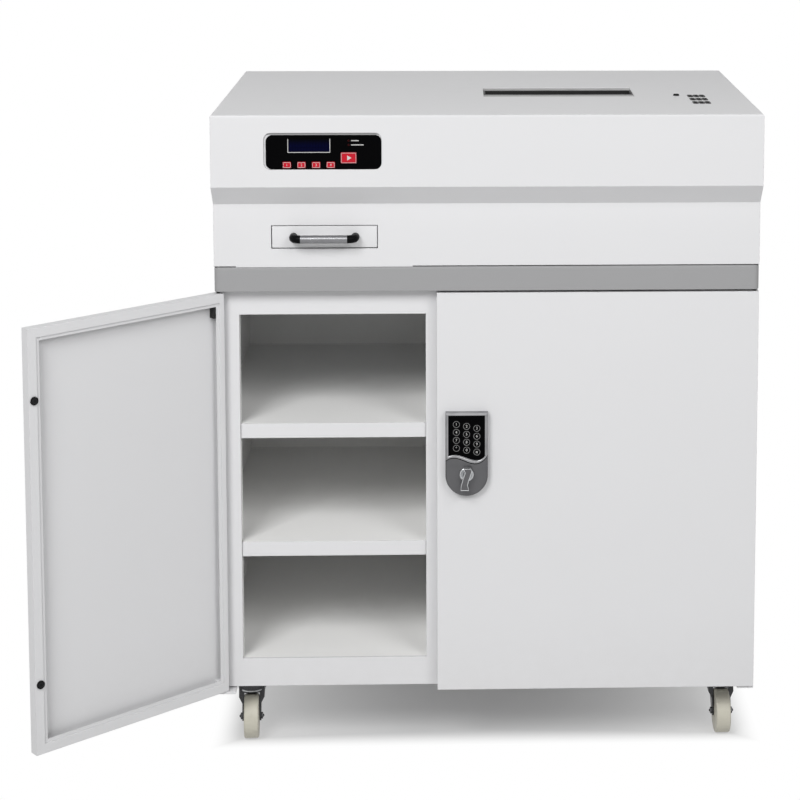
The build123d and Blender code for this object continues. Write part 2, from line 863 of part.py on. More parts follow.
with BuildPart() as shaft_bearings:
    for x_plate in (x_left_plate, x_right_plate):
        with BuildSketch(side_plane(x_plate)):
            with Locations(*[(y, z_cutter) for y in y_cutters.values()]):
                Circle(bearing_radius)
                Circle(journal_radius + running_gap, mode=Mode.SUBTRACT)
        extrude(amount=side_plate_thickness)
keep(shaft_bearings, "shaft_bearings")

bar_reach = side_plate_depth / 2 - tie_bar_inset
with BuildPart() as cutter_tie_bars:
    with BuildSketch(side_plane(slot_x - x_plates)):
        for y_bar in (slot_y - bar_reach, slot_y + bar_reach):
            with Locations((y_bar, z_bed + tie_bar_inset)):
                Circle(tie_bar_radius)
    extrude(amount=2 * x_plates)
keep(cutter_tie_bars, "cutter_tie_bars")

finger_width = cutter_pitch - cutter_thickness - 2 * comb_side_gap
with BuildPart() as stripper_combs:
    for row, side in (("front", -1), ("rear", 1)):
        y_shaft = y_cutters[row]
        bar_near = y_shaft + side * (cutter_radius + comb_gap)
        finger_end = y_shaft + side * (cutter_core_radius + comb_core_gap)
        with BuildSketch(side_plane(slot_x - x_plates)):
            with Locations((bar_near + side * comb_bar_depth / 2, z_cutter)):
                Rectangle(comb_bar_depth, comb_bar_height)
        extrude(amount=2 * x_plates)
        finger_y = (finger_end + bar_near) / 2
        for i in range(cutter_count - 1):
            finger_x = first_discs[row] + i * cutter_pitch + cutter_thickness + comb_side_gap
            with BuildSketch(side_plane(finger_x)):
                with Locations((finger_y, z_cutter)):
                    Rectangle(abs(bar_near - finger_end), comb_finger_height)
            extrude(amount=finger_width)
keep(stripper_combs, "stripper_combs")

# Drive motor: gearbox against the left plate, round motor and a foot on the bed
with BuildPart() as drive_motor:
    with BuildSketch(side_plane(x_left_plate)):
        with Locations((y_cutters["rear"], z_cutter)):
            RectangleRounded(gearbox_size, gearbox_size, side_plate_chamfer / 2)
    extrude(amount=-gearbox_length)
    with BuildSketch(side_plane(x_left_plate - gearbox_length)):
        with Locations((y_cutters["rear"], z_cutter)):
            Circle(motor_radius)
    extrude(amount=-motor_length)
    x_foot = x_left_plate - gearbox_length - motor_length / 2
    with BuildSketch(level(z_bed)):
        with Locations((x_foot, y_cutters["rear"])):
            Rectangle(motor_foot_length, motor_foot_depth)
    extrude(amount=z_cutter - z_bed)
    with BuildSketch(side_plane(x_left_plate)):
        with Locations((y_cutters["rear"], z_cutter)):
            Circle(journal_radius + running_gap)
        with Locations((y_cutters["front"], z_cutter)):
            Circle(bearing_radius)
    extrude(amount=-shaft_into_gearbox - slide_gap, mode=Mode.SUBTRACT)
keep(drive_motor, "drive_motor")

# Power inlet: flanged socket with three blades in its well
inlet_z = z_belt + inlet_rise
with BuildPart() as power_inlet:
    with BuildSketch(front_plane(y_back)):
        with Locations((inlet_x, inlet_z)):
            Rectangle(inlet_width, inlet_height)
    extrude(amount=-inlet_flange)
    with BuildSketch(front_plane(y_back)):
        with Locations((inlet_x, inlet_z)):
            Rectangle(inlet_width - 2 * inlet_lip - 2 * seat_gap, inlet_height - 2 * inlet_lip - 2 * seat_gap)
    extrude(amount=inlet_body)
    with BuildSketch(front_plane(y_back + inlet_flange)):
        with Locations((inlet_x, inlet_z)):
            Rectangle(inlet_width - 2 * inlet_well_margin, inlet_height - 2 * inlet_well_margin)
    extrude(amount=inlet_well_depth, mode=Mode.SUBTRACT)
    with BuildSketch(front_plane(y_back + inlet_flange - inlet_well_depth)):
        with Locations((inlet_x, inlet_z)):
            with GridLocations(inlet_pin_spacing, inlet_pin_spacing, inlet_pin_count, 1):
                Rectangle(inlet_pin_thickness, inlet_pin_width)
    extrude(amount=-inlet_pin_length)
keep(power_inlet, "power_inlet")


def door_frame(side, angle):
    """Plane in the middle of a door's depth: X along the closed front, Y up, Z outwards."""
    turn = radians(-angle)
    return Plane(
        origin=(side * pivot_x, pivot_y, 0),
        x_dir=(cos(turn), sin(turn), 0),
        z_dir=(sin(turn), -cos(turn), 0),
    )


left_leaf = door_frame(-1, left_door_open_angle)
right_leaf = door_frame(1, 0.0)
left_reach = (-pivot_inset, left_door_width - pivot_inset)
right_reach = (pivot_inset - (cabinet_width - left_door_width - door_reveal), pivot_inset)
left_well = (left_reach[0] + hinge_lip, left_reach[1] - door_lip)
right_well = (right_reach[0] + door_lip, right_reach[1] - hinge_lip)
door_z = (z_door_bottom, z_door_top)
lock_left = right_reach[0] + lock_edge_inset
lock_x = lock_left + lock_width / 2
lock_top = z_door_bottom + lock_rise
knob_place = (lock_x, lock_top - knob_drop)


def door_pan(leaf, reach, well, spindle_places=()):
    """Folded door: front sheet, four side walls and a return lip round the back."""
    half = door_depth / 2
    with BuildPart() as pan:
        with BuildSketch(leaf.offset(-half)):
            with Locations((middle(reach), middle(door_z))):
                Rectangle(span(reach), span(door_z))
        extrude(amount=door_depth)
        with BuildSketch(leaf.offset(sheet - half)):
            with Locations((middle(reach), middle(door_z))):
                Rectangle(span(reach) - 2 * sheet, span(door_z) - 2 * sheet)
        extrude(amount=door_depth - 2 * sheet, mode=Mode.SUBTRACT)
        with BuildSketch(leaf.offset(-half)):
            with Locations((middle(well), middle(door_z))):
                Rectangle(span(well), span(door_z) - 2 * door_lip)
        extrude(amount=sheet, mode=Mode.SUBTRACT)
        pin_holes = Plane(origin=leaf.origin, x_dir=leaf.x_dir, z_dir=(0, 0, 1))
        with BuildSketch(pin_holes.offset(z_door_bottom)):
            Circle(pin_radius + running_gap)
        extrude(amount=span(door_z), mode=Mode.SUBTRACT)
        for place in spindle_places:
            with BuildSketch(leaf.offset(half)):
                with Locations(place):
                    Circle(spindle_hole_radius)
            extrude(amount=-sheet, mode=Mode.SUBTRACT)
    return pan


def door_pins(leaf, side):
    """Top and bottom pivot pins, each in a block inside the door's corner."""
    across = door_depth / 2 - sheet - seat_gap
    block_from = pivot_inset - sheet - seat_gap
    upright = Plane(origin=leaf.origin, x_dir=leaf.x_dir, z_dir=(0, 0, 1))
    z_bracket = z_door_bottom - bracket_gap - bracket_thickness
    with BuildPart() as pins:
        z_head, z_foot = z_door_top - sheet, z_door_bottom + sheet
        for z_block, block_height, z_pin, pin_end in (
            (z_head - pin_block_height, pin_block_height, z_head, z_carcass + pin_reach),
            (z_foot, foot_block_height, z_bracket, z_foot),
        ):
            with BuildSketch(upright.offset(z_block)):
                with Locations((side * (block_from - pin_block_width / 2), 0)):
                    Rectangle(pin_block_width, 2 * across)
            extrude(amount=block_height)
            with BuildSketch(upright.offset(z_pin)):
                Circle(pin_radius)
            extrude(amount=pin_end - z_pin)
    return pins


# Left door, open as it stands, and right door, closed
keep(door_pan(left_leaf, left_reach, left_well), "left_door_panel")
keep(door_pins(left_leaf, -1), "left_door_hinge_pins")
keep(door_pins(right_leaf, 1), "right_door_hinge_pins")

bumper_x = left_reach[1] - bumper_edge
with BuildPart() as left_door_bumpers:
    with BuildSketch(left_leaf.offset(-door_depth / 2)):
        with Locations((bumper_x, z_door_top - bumper_inset), (bumper_x, z_door_bottom + bumper_inset)):
            Circle(bumper_radius)
    extrude(amount=-bumper_height)
keep(left_door_bumpers, "left_door_bumpers")

right_door_panel = door_pan(right_leaf, right_reach, right_well, [knob_place])
keep(right_door_panel, "right_door_panel")

# Brackets under the base that carry the lower door pins
z_bracket_top = z_door_bottom - bracket_gap
with BuildPart() as hinge_brackets:
    for side in (-1, 1):
        x_bracket = side * half_width - (0 if side < 0 else bracket_width)
        y_step = y_frame + 2 * door_clearance
        with BuildSketch(side_plane(x_bracket)):
            with BuildLine():
                Polyline(
                    (pivot_y - 2 * pin_radius, z_bracket_top - bracket_thickness),
                    (y_step + bracket_thickness, z_bracket_top - bracket_thickness),
                    (y_step + bracket_thickness, z_base - bracket_thickness),
                    (y_step + bracket_length, z_base - bracket_thickness),
                    (y_step + bracket_length, z_base),
                    (y_step, z_base),
                    (y_step, z_bracket_top),
                    (pivot_y - 2 * pin_radius, z_bracket_top),
                    close=True,
                )
            make_face()
        extrude(amount=bracket_width)
    with BuildSketch(level(z_bracket_top - bracket_thickness)):
        with Locations((-pivot_x, pivot_y), (pivot_x, pivot_y)):
            Circle(pin_radius + running_gap)
    extrude(amount=bracket_thickness, mode=Mode.SUBTRACT)
keep(hinge_brackets, "hinge_brackets")

# Electronic lock: round-ended housing, touch keypad, inner case, thumb turn and cam
door_face = right_leaf.offset(door_depth / 2)
lock_round = lock_width / 2
z_lock_bottom = lock_top - lock_height
z_wave = lock_top - keypad_wave_drop
keypad_half = keypad_width / 2


def keypad_slab(inset, thickness):
    """Slab from the floor of the keypad's pocket, with square shoulders and a wavy lower edge."""
    left = lock_x - keypad_half + inset
    right = lock_x + keypad_half - inset
    top = lock_top - keypad_top_margin - inset
    low = z_wave + inset
    with BuildPart() as slab:
        with BuildSketch(door_face.offset(lock_depth - keypad_sink)):
            with BuildLine():
                Polyline((left, low), (left, top), (right, top), (right, low))
                Spline(
                    (left, low),
                    (lock_x - keypad_bend, low + keypad_crest),
                    (lock_x + keypad_bend, low - keypad_trough),
                    (right, low),
                )
            make_face()
        extrude(amount=thickness)
    return slab


keypad_pocket = keypad_slab(0.0, lock_depth)
with BuildPart() as lock_housing:
    with BuildSketch(door_face):
        with Locations((lock_x, (lock_top + z_lock_bottom + lock_round) / 2)):
            Rectangle(lock_width, lock_height - lock_round)
        with Locations((lock_x, z_lock_bottom + lock_round)):
            Circle(lock_round)
    extrude(amount=lock_depth)
    chamfer(lock_housing.faces().sort_by(Axis.Y)[0].edges(), length=lock_bevel)
    add(keypad_pocket.part, mode=Mode.SUBTRACT)
    with BuildSketch(door_face):
        with Locations(knob_place):
            Circle(spindle_radius + running_gap)
    extrude(amount=lock_depth, mode=Mode.SUBTRACT)
keep(lock_housing, "lock_housing")

keep(keypad_slab(seat_gap, keypad_thickness), "keypad_panel")

case_face = door_face.offset(-sheet)
with BuildPart() as lock_rear_case:
    with BuildSketch(case_face):
        with Locations((lock_x, lock_top - lock_height / 2)):
            RectangleRounded(lock_case_width, lock_case_height, lock_bevel)
        with Locations(knob_place):
            Circle(spindle_radius + slide_gap, mode=Mode.SUBTRACT)
    extrude(amount=-lock_case_depth)
keep(lock_rear_case, "lock_rear_case")

cam_face = case_face.offset(-lock_case_depth - slide_gap)
knob_face = door_face.offset(lock_depth + slide_gap)
spindle_length = lock_depth + 2 * slide_gap + sheet + lock_case_depth + cam_thickness
lever_swing = radians(lever_tilt)
with BuildPart() as lock_knob:
    with BuildSketch(knob_face):
        with Locations(knob_place):
            Circle(knob_radius)
    extrude(amount=knob_thickness)
    with BuildSketch(knob_face.offset(knob_thickness)):
        for reach, radius in ((lever_up, lever_top_radius), (-lever_down, lever_end_radius)):
            with Locations((lock_x + reach * sin(lever_swing), knob_place[1] + reach * cos(lever_swing))):
                Circle(radius)
        make_hull()
    extrude(amount=lever_thickness)
    with BuildSketch(knob_face):
        with Locations(knob_place):
            Circle(spindle_radius)
    extrude(amount=-spindle_length)
keep(lock_knob, "lock_knob")

with BuildPart() as lock_cam:
    with BuildSketch(cam_face):
        with Locations(knob_place, (knob_place[0], knob_place[1] - cam_length)):
            Circle(cam_half_width)
        make_hull()
        with Locations(knob_place):
            Circle(spindle_radius + running_gap, mode=Mode.SUBTRACT)
    extrude(amount=-cam_thickness)
keep(lock_cam, "lock_cam")

# Castors: fixed plates with race and kingpin, forks that swivel and wheels that turn
z_plate = z_base - castor_plate_thickness
z_race = z_plate - race_height
z_crown = z_race - slide_gap - fork_crown_height
castor_places = {
    "front_left": (-castor_x, -castor_y),
    "front_right": (castor_x, -castor_y),
    "rear_left": (-castor_x, castor_y),
    "rear_right": (castor_x, castor_y),
}
corner_places = list(castor_places.values())
with BuildPart() as castor_plates:
    with BuildSketch(level(z_plate)):
        with Locations(*corner_places):
            Rectangle(castor_plate_size, castor_plate_size)
    extrude(amount=castor_plate_thickness)
    with BuildSketch(level(z_race)):
        with Locations(*corner_places):
            Circle(race_radius)
    extrude(amount=race_height)
    with BuildSketch(level(z_crown - slide_gap)):
        with Locations(*corner_places):
            Circle(kingpin_radius)
    extrude(amount=z_race - z_crown + slide_gap)
    with BuildSketch(level(z_crown - slide_gap - kingpin_head_height)):
        with Locations(*corner_places):
            Circle(kingpin_head_radius)
    extrude(amount=kingpin_head_height)
keep(castor_plates, "castor_plates")

leg_inner = hub_width / 2 + slide_gap
leg_outer = leg_inner + fork_leg_thickness
z_flare = wheel_radius + fork_flare_start
z_crown_top = z_crown + fork_crown_height
leg_points = [
    (leg_inner, wheel_radius - fork_boss_radius),
    (leg_outer, wheel_radius - fork_boss_radius),
    (leg_outer, z_flare),
    (leg_outer + fork_flare, z_flare + fork_flare_rise),
    (leg_outer + fork_flare, z_crown_top),
    (leg_inner, z_crown_top),
]
for corner, place in castor_places.items():
    yaw = radians(castor_yaws[corner])
    swivel = Plane(origin=(*place, 0), x_dir=(cos(yaw), sin(yaw), 0), z_dir=(0, 0, 1))
    along_axle = Plane(origin=swivel.origin, x_dir=swivel.y_dir, z_dir=swivel.x_dir)
    axle_centre = swivel.from_local_coords(Vector(0, -castor_trail, wheel_radius))
    facing = Plane(origin=axle_centre - Vector(0, 0, wheel_radius), x_dir=swivel.x_dir, z_dir=-swivel.y_dir)

    with BuildPart() as fork:
        with BuildSketch(facing):
            with BuildLine():
                Polyline(*leg_points, close=True)
            make_face()
            mirror(about=Plane.YZ)
        extrude(amount=2 * castor_trail, both=True)
        with BuildSketch(along_axle.offset(-leg_outer - fork_flare)):
            with Locations((-castor_trail, wheel_radius)):
                Circle(fork_boss_radius)
            with Locations((0, z_crown)):
                Rectangle(fork_leg_width, fork_crown_height, align=(Align.CENTER, Align.MIN))
            make_hull()
        extrude(amount=2 * (leg_outer + fork_flare), mode=Mode.INTERSECT)
        with BuildSketch(swivel.offset(z_crown)):
            Circle(fork_crown_radius)
            Circle(kingpin_radius + running_gap, mode=Mode.SUBTRACT)
        extrude(amount=fork_crown_height)
        with BuildSketch(along_axle.offset(-leg_outer)):
            with Locations((-castor_trail, wheel_radius)):
                Circle(axle_radius)
        extrude(amount=2 * leg_outer)
    keep(fork, f"{corner}_castor_fork")

    half_tread = wheel_width / 2
    bore = axle_radius + running_gap
    with BuildPart() as wheel:
        with BuildSketch(Plane(origin=axle_centre, x_dir=swivel.x_dir, z_dir=-swivel.y_dir)):
            with BuildLine():
                Polyline(
                    (-hub_width / 2, bore),
                    (-hub_width / 2, hub_radius),
                    (-half_tread, hub_radius),
                    (-half_tread, wheel_radius - wheel_shoulder),
                    (wheel_shoulder - half_tread, wheel_radius),
                    (half_tread - wheel_shoulder, wheel_radius),
                    (half_tread, wheel_radius - wheel_shoulder),
                    (half_tread, hub_radius),
                    (hub_width / 2, hub_radius),
                    (hub_width / 2, bore),
                    close=True,
                )
            make_face()
        revolve(axis=Axis(axle_centre, swivel.x_dir))
    keep(wheel, f"{corner}_castor_wheel")
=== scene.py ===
import json
import math

import bmesh
import bpy
from mathutils import Matrix, Vector


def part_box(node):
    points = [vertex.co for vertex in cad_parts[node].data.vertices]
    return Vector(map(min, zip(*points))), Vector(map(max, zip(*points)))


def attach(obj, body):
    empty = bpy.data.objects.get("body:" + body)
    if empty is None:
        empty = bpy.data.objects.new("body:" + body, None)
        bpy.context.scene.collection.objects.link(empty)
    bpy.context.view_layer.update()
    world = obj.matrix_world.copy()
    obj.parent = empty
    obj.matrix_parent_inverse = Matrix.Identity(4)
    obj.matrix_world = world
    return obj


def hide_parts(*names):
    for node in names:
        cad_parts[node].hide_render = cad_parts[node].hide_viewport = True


bl_info = {
    "name": "Cabinet Shredder",
    "version": (1, 0, 0),
    "blender": (4, 5, 0),
    "location": "3D View > Sidebar > Shredder",
    "description": "Dresses a cabinet shredder with its finishes, small trim and fasteners",
    "category": "Object",
}

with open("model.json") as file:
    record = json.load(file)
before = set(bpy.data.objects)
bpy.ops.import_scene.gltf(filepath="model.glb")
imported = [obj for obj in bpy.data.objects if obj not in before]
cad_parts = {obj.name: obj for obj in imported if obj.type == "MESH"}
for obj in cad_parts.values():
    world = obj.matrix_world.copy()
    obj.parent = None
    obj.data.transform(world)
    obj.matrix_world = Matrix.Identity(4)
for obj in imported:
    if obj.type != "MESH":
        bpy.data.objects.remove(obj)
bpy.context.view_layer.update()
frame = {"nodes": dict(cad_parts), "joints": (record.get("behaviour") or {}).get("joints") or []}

# Outline of the thumb turn's lever, across and up from its spindle.
LEVER_POINTS = (
    (-0.0035, 0.0115), (-0.0042, 0.0088), (-0.0025, 0.0053), (-0.0058, -0.0044),
    (-0.0086, -0.0141), (-0.0088, -0.0215), (0.0032, -0.0215), (0.0018, -0.0132),
    (0.0032, -0.0071), (0.0058, 0.0), (0.0080, 0.0074), (0.0066, 0.0115),
)

# Ways that a surface faces, and the names of what comes in fours.
FRONT = (0.0, -1.0, 0.0)
BACK = (0.0, 1.0, 0.0)
CASTORS = ("front_left", "front_right", "rear_left", "rear_right")
FUNCTION_KEYS = ("function_key_1", "function_key_2", "function_key_3", "function_key_4")

# Studio: each lamp's place and power, then what all share.
LAMPS = {"key_lamp": ((-1.53, -3.15, 3.08), 97.0), "fill_lamp": ((1.77, -2.73, 2.75), 44.0)}
LAMP_TARGET = (0.0, -0.2, 0.5)
LAMP_SIZE = 1.6
SURROUND_LIGHT = 0.22
FLOOR_SIZE = 14.0
FLOOR_PAINT = (0.86, 0.86, 0.86, 1.0)
# Painted shade: the floor is darker under the cabinet, lifted by a glow, and the patch fades out
# towards its sides.
FLOOR_PAINTED_SHADE = (0.50, 0.50, 0.50, 1.0)
FLOOR_PAINTED_GLOW = 0.15
SHADOW_FADE = 2.6
SHADOW_EDGES = (("X", 0.345, 0.42), ("Y", 0.165, 0.225))

# Camera, fitted to the picture's straight edges.
CAMERA_PLACE = (-0.047044, -3.253828, 1.404900)
CAMERA_YAW = -0.034757
CAMERA_PITCH = -0.106722
CAMERA_ROLL = 0.0027727
CAMERA_LENS = 93.962
CAMERA_SHIFT = (-0.15967, -0.45438)


def length_property(label, words, value):
    """Length property with a name, a description and a default."""
    return bpy.props.FloatProperty(name=label, description=words, default=value, unit="LENGTH")


def lengths_property(label, words, values):
    """The same for two or three lengths."""
    return bpy.props.FloatVectorProperty(
        name=label, description=words, size=len(values), default=values, unit="LENGTH"
    )


class ShredderSizes(bpy.types.PropertyGroup):
    """Sizes of the small trim and of the edges between finishes."""

    ring_radius: length_property("Keypad ring", "Outer radius of a ring on the keypad", 0.0050)
    ring_stroke: length_property("Ring stroke", "Width of a ring's line", 0.0006)
    ring_pitch: lengths_property(
        "Ring pitch", "Distance between columns, between rows, and the drop of each column",
        (0.01505, 0.01197, 0.0030),
    )
    first_ring: length_property(
        "First ring", "Drop of the first ring below the keypad's top", 0.0132
    )
    digit_height: length_property("Digit", "Type size of a digit on keypad and keys", 0.0054)
    print_thickness: length_property("Print", "Thickness of printed marks", 0.00012)
    wave_width: length_property("Lock wave", "Width of the bright wave below the keypad", 0.0040)
    wave_drop: length_property("Wave drop", "Drop of the wave's ends below the lock's top", 0.0647)
    wave_bend: length_property(
        "Wave bend", "Distance of crest and trough from the lock's middle", 0.018
    )
    wave_crest: length_property("Wave crest", "Height of the wave's crest", 0.0019)
    wave_trough: length_property("Wave trough", "Depth of the wave's trough", 0.0061)
    trim_height: length_property(
        "Trim height", "How far the lock's bright wave stands out", 0.0015
    )
    lever_height: length_property(
        "Lever height", "Height of the thumb turn's lever above its disc", 0.0080
    )
    lever_rim: length_property("Lever rim", "Width of the raised rim round the lever", 0.0012)
    spindle_radius: length_property("Spindle", "Radius of the thumb turn's spindle", 0.0050)
    # Painted highlight: pale line along the display window's lit edges.
    display_highlight_line: length_property("Display line", "Width of the line round the display", 0.0009)
    display_trim: lengths_property(
        "Display trim", "How far the display's line stands in, at its right and foot",
        (0.0028, 0.0012),
    )
    key_border: length_property("Key border", "Width of the pale border on a key", 0.0005)
    face_depth: length_property(
        "Drawer face", "Depth of the folded pan on the drawer's front", 0.0106
    )
    face_gap: length_property(
        "Face gap", "Setback of the pan's edges from the drawer front", 0.0007
    )
    sheet: length_property("Sheet", "Thickness of the folded sheet", 0.0012)
    door_well: lengths_property(
        "Door well", "Open door's well from its hinge, near and far, and its lip at top and bottom",
        (0.0030, 0.3034, 0.0136),
    )
    door_angle: bpy.props.FloatProperty(
        name="Door angle", description="How far the open door stands open",
        default=math.radians(139.2), subtype="ANGLE",
    )
    fold_depth: length_property(
        "Fold depth", "Back of the door's second fold from the hinge's plane", 0.0048
    )
    fold_width: length_property("Fold width", "Width of the door's second fold", 0.0050)
    bumper_radius: length_property("Bumper", "Radius of a door bumper", 0.0059)
    bumper_height: length_property("Bumper height", "Height of a door bumper", 0.0020)
    vent_centre: lengths_property(
        "Vent centre", "Middle of the vents on the top", (0.3228, -0.1153)
    )
    vent_pitch: lengths_property(
        "Vent pitch", "Distance between vents, across and along", (0.0092, 0.0363)
    )
    plug_size: lengths_property(
        "Vent plug", "Width and length of a vent plug's flange", (0.0084, 0.0242)
    )
    plug_bore: length_property("Plug bore", "Width of the opening in a vent plug", 0.0052)
    plug_height: length_property("Plug height", "Height of a vent plug's flange", 0.0007)
    screw_radius: length_property("Screw head", "Radius of a cover screw's head", 0.0042)
    screw_height: length_property("Screw height", "Height of a cover screw's head", 0.0018)
    nut_radius: length_property("Castor nut", "Radius across the corners of a castor nut", 0.0050)
    nut_height: length_property("Nut height", "Height of a castor nut", 0.0026)
    lip_radius: length_property(
        "Castor lip", "Radius of the rolled lip round a castor's crown", 0.0202
    )
    lip_bead: length_property("Lip bead", "Radius of the lip's rolled bead", 0.0014)
    lip_height: length_property("Lip height", "Height of the lip above the floor", 0.0702)
    leg_reach: length_property(
        "Fork leg", "Distance of a castor leg's outer face from the wheel's middle", 0.0143
    )
    pin_split: length_property("Pin split", "Height between the lower and upper door pins", 0.4)
    slant: lengths_property(
        "Slant", "Setback of the head's lower band, and the slant's two heights",
        (0.029, 0.8375, 0.867),
    )
    # Throat: painted shade turns its coat black below its top edge and between its lips.
    throat_shade_edge: lengths_property(
        "Throat edge", "Drops between which the throat's coat turns black", (0.0002, 0.0009)
    )
    throat_unshaded_lip: lengths_property(
        "Throat lip", "Width of the throat's clean lip, in front and behind", (0.0305, 0.0320)
    )
    display_sill: lengths_property(
        "Display sill", "Overlay's lap on the display, at its sides and ends", (0.007, 0.0035)
    )
    # Painted shade: height over which the display darkens to black at its top.
    display_top_shade: length_property(
        "Display fade", "Height over which the display darkens to its top", 0.009
    )
    # Painted shadow: width of the dark line below the lock's wave.
    wave_shadow_width: length_property("Wave groove", "Width of the dark groove below the wave", 0.0015)
    wave_margin: length_property(
        "Wave margin", "Setback of the wave's ends from the lock's sides", 0.0021
    )
    knob_gap: length_property("Knob gap", "Gap between the thumb turn's disc and the lock", 0.0003)
    lever_sink: length_property("Lever sink", "How deep the lever stands in its disc", 0.0015)
    inlay_height: length_property("Inlay", "Thickness of the lever's inlay", 0.0002)
    key_inset: length_property(
        "Key inset", "Setback of a key's border from the key's edge", 0.0016
    )
    key_corner: length_property("Key corner", "Corner radius of a key's border", 0.0009)
    triangle_radius: length_property(
        "Triangle", "Radius of the triangle on the larger key", 0.0042
    )
    legend_bars: lengths_property(
        "Legend bars", "Lengths of the upper and lower bar beside the lamps", (0.011, 0.018)
    )
    legend_height: length_property("Legend height", "Height of a legend bar", 0.0012)
    legend_place: lengths_property(
        "Legend place", "A bar's distance from the lamps, beside and inside", (0.0022, 0.0015)
    )
    plug_wall: length_property("Plug wall", "Wall of the sleeve below a vent plug", 0.0004)
    plug_sleeve: length_property("Plug sleeve", "Depth of the sleeve below a vent plug", 0.0030)
    bumper_proud: length_property("Bumper screw", "How far a bumper's screw stands out", 0.0002)
    screw_inset: length_property(
        "Screw inset", "Distance of the back panel's screws from its edges", 0.012
    )
    cover_inset: lengths_property(
        "Cover inset", "Head screws from its ends, and from its foot behind and beside",
        (0.030, 0.010, 0.012),
    )
    cover_pitch: length_property(
        "Cover pitch", "Distance between the screws at a side of the head", 0.19
    )
    inlet_inset: length_property(
        "Inlet inset", "Distance of the inlet's screws from its ends", 0.0034
    )
    plate_thickness: length_property("Castor plate", "Thickness of a castor's plate", 0.003)
    bolt_offset: length_property(
        "Castor bolts", "Distance of a castor's bolts from its kingpin, each way", 0.024
    )


def colour_property(label, words, value):
    """Colour property with a name, a description and a default."""
    return bpy.props.FloatVectorProperty(
        name=label, description=words, subtype="COLOR", size=3, min=0.0, max=1.0, default=value
    )


class ShredderColours(bpy.types.PropertyGroup):
    """Colours of the finishes, as linear values."""

    coat: colour_property(
        "Powder coat", "White coat of cabinet, doors and head", (0.72, 0.72, 0.73)
    )
    # Painted light: the lighter coat inside the cabinet lifts the shade there.
    painted_light_liner: colour_property(
        "Liner", "Lighter coat of the faces inside the cabinet", (0.92, 0.918, 0.908)
    )
    primer: colour_property("Primer", "Grey primer on the inside of the head", (0.10, 0.10, 0.10))
    belt: colour_property("Belt", "Grey coat of the belt under the head", (0.33, 0.33, 0.335))
    throat: colour_property("Throat", "Grey coat of the feed throat", (0.40, 0.40, 0.40))
    zinc: colour_property("Zinc", "Zinc plated steel", (0.55, 0.56, 0.57))
    steel: colour_property("Steel", "Bare ground steel", (0.50, 0.51, 0.52))
    grip: colour_property("Grip", "Brushed steel of the drawer's grip", (0.25, 0.25, 0.26))
    fork: colour_property(
        "Fork", "Dark bright-drawn steel of the castor forks", (0.050, 0.050, 0.052)
    )
    black: colour_property(
        "Black parts", "Black plastic and blackened steel", (0.004, 0.004, 0.0045)
    )
    overlay: colour_property("Overlay", "Black of panel and keypad", (0.0015, 0.0015, 0.0018))
    margin: colour_property(
        "Margin", "Pale margin at the sides of the key panel", (0.70, 0.70, 0.71)
    )
    # Painted shade: the grey above the key panel stands for the shadow of its recess's top edge.
    carrier: colour_property("Carrier", "Grey margin above the key panel", (0.36, 0.36, 0.365))
    keys: colour_property("Keys", "Red key caps", (0.50, 0.008, 0.022))
    lamps: colour_property("Lamps", "Unlit red lamp lenses", (0.030, 0.004, 0.004))
    display: colour_property("Display", "Blue glass of the display", (0.0010, 0.0013, 0.011))
    prints: colour_property("Prints", "Pale print on black", (0.60, 0.60, 0.59))
    rings: colour_property("Rings", "Dim rings on the keypad", (0.22, 0.22, 0.22))
    gunmetal: colour_property("Gunmetal", "Dark satin metal of the lock", (0.12, 0.12, 0.125))
    bright: colour_property("Bright trim", "Bright frame and wave of the lock", (0.33, 0.33, 0.34))
    tyre: colour_property("Tyre", "Pale tread of the castors", (0.53, 0.51, 0.43))
    copper: colour_property("Copper", "Coil winding", (0.42, 0.15, 0.05))
    bronze: colour_property("Bronze", "Bearing bushes", (0.48, 0.30, 0.12))
    motor: colour_property("Motor", "Motor paint", (0.05, 0.055, 0.06))
    bin: colour_property("Bin", "Moulded waste bin", (0.10, 0.105, 0.11))


class Value:
    """A shader value: arithmetic on it adds Math nodes to its finish."""

    def __init__(self, finish, socket):
        self.finish = finish
        self.socket = socket

    def math(self, operation, first, second):
        return self.finish.node("ShaderNodeMath", {"operation": operation}, {0: first, 1: second})

    def __add__(self, other):
        return self.math("ADD", self, other)

    def __radd__(self, other):
        return self.math("ADD", other, self)

    def __sub__(self, other):
        return self.math("SUBTRACT", self, other)

    def __rsub__(self, other):
        return self.math("SUBTRACT", other, self)

    def __mul__(self, other):
        return self.math("MULTIPLY", self, other)

    def __rmul__(self, other):
        return self.math("MULTIPLY", other, self)

    def __gt__(self, other):
        return self.math("GREATER_THAN", self, other)

    def __lt__(self, other):
        return self.math("LESS_THAN", self, other)


class NodeMaker:
    """Adds nodes to one node tree."""

    def __init__(self, tree):
        self.tree = tree

    def node(self, kind, settings=None, sockets=None, out=0):
        """Add a node, set it up, feed its sockets and give back one of its outputs."""
        made = self.tree.nodes.new(kind)
        for key, setting in (settings or {}).items():
            setattr(made, key, setting)
        for key, value in (sockets or {}).items():
            self.feed(made.inputs[key], value)
        return Value(self, made.outputs[out])

    def feed(self, socket, value):
        """Link a value to a socket, or set the socket to a number or colour."""
        if isinstance(value, Value):
            self.tree.links.new(value.socket, socket)
        else:
            socket.default_value = value

    def seen(self):
        """Value that is 1 for rays that show the surround: camera, gloss and glass."""
        kinds = ("Camera", "Glossy", "Transmission")
        rays = [self.node("ShaderNodeLightPath", out=f"Is {kind} Ray") for kind in kinds]
        return rays[0].math("MAXIMUM", rays[0], rays[1].math("MAXIMUM", rays[1], rays[2]))


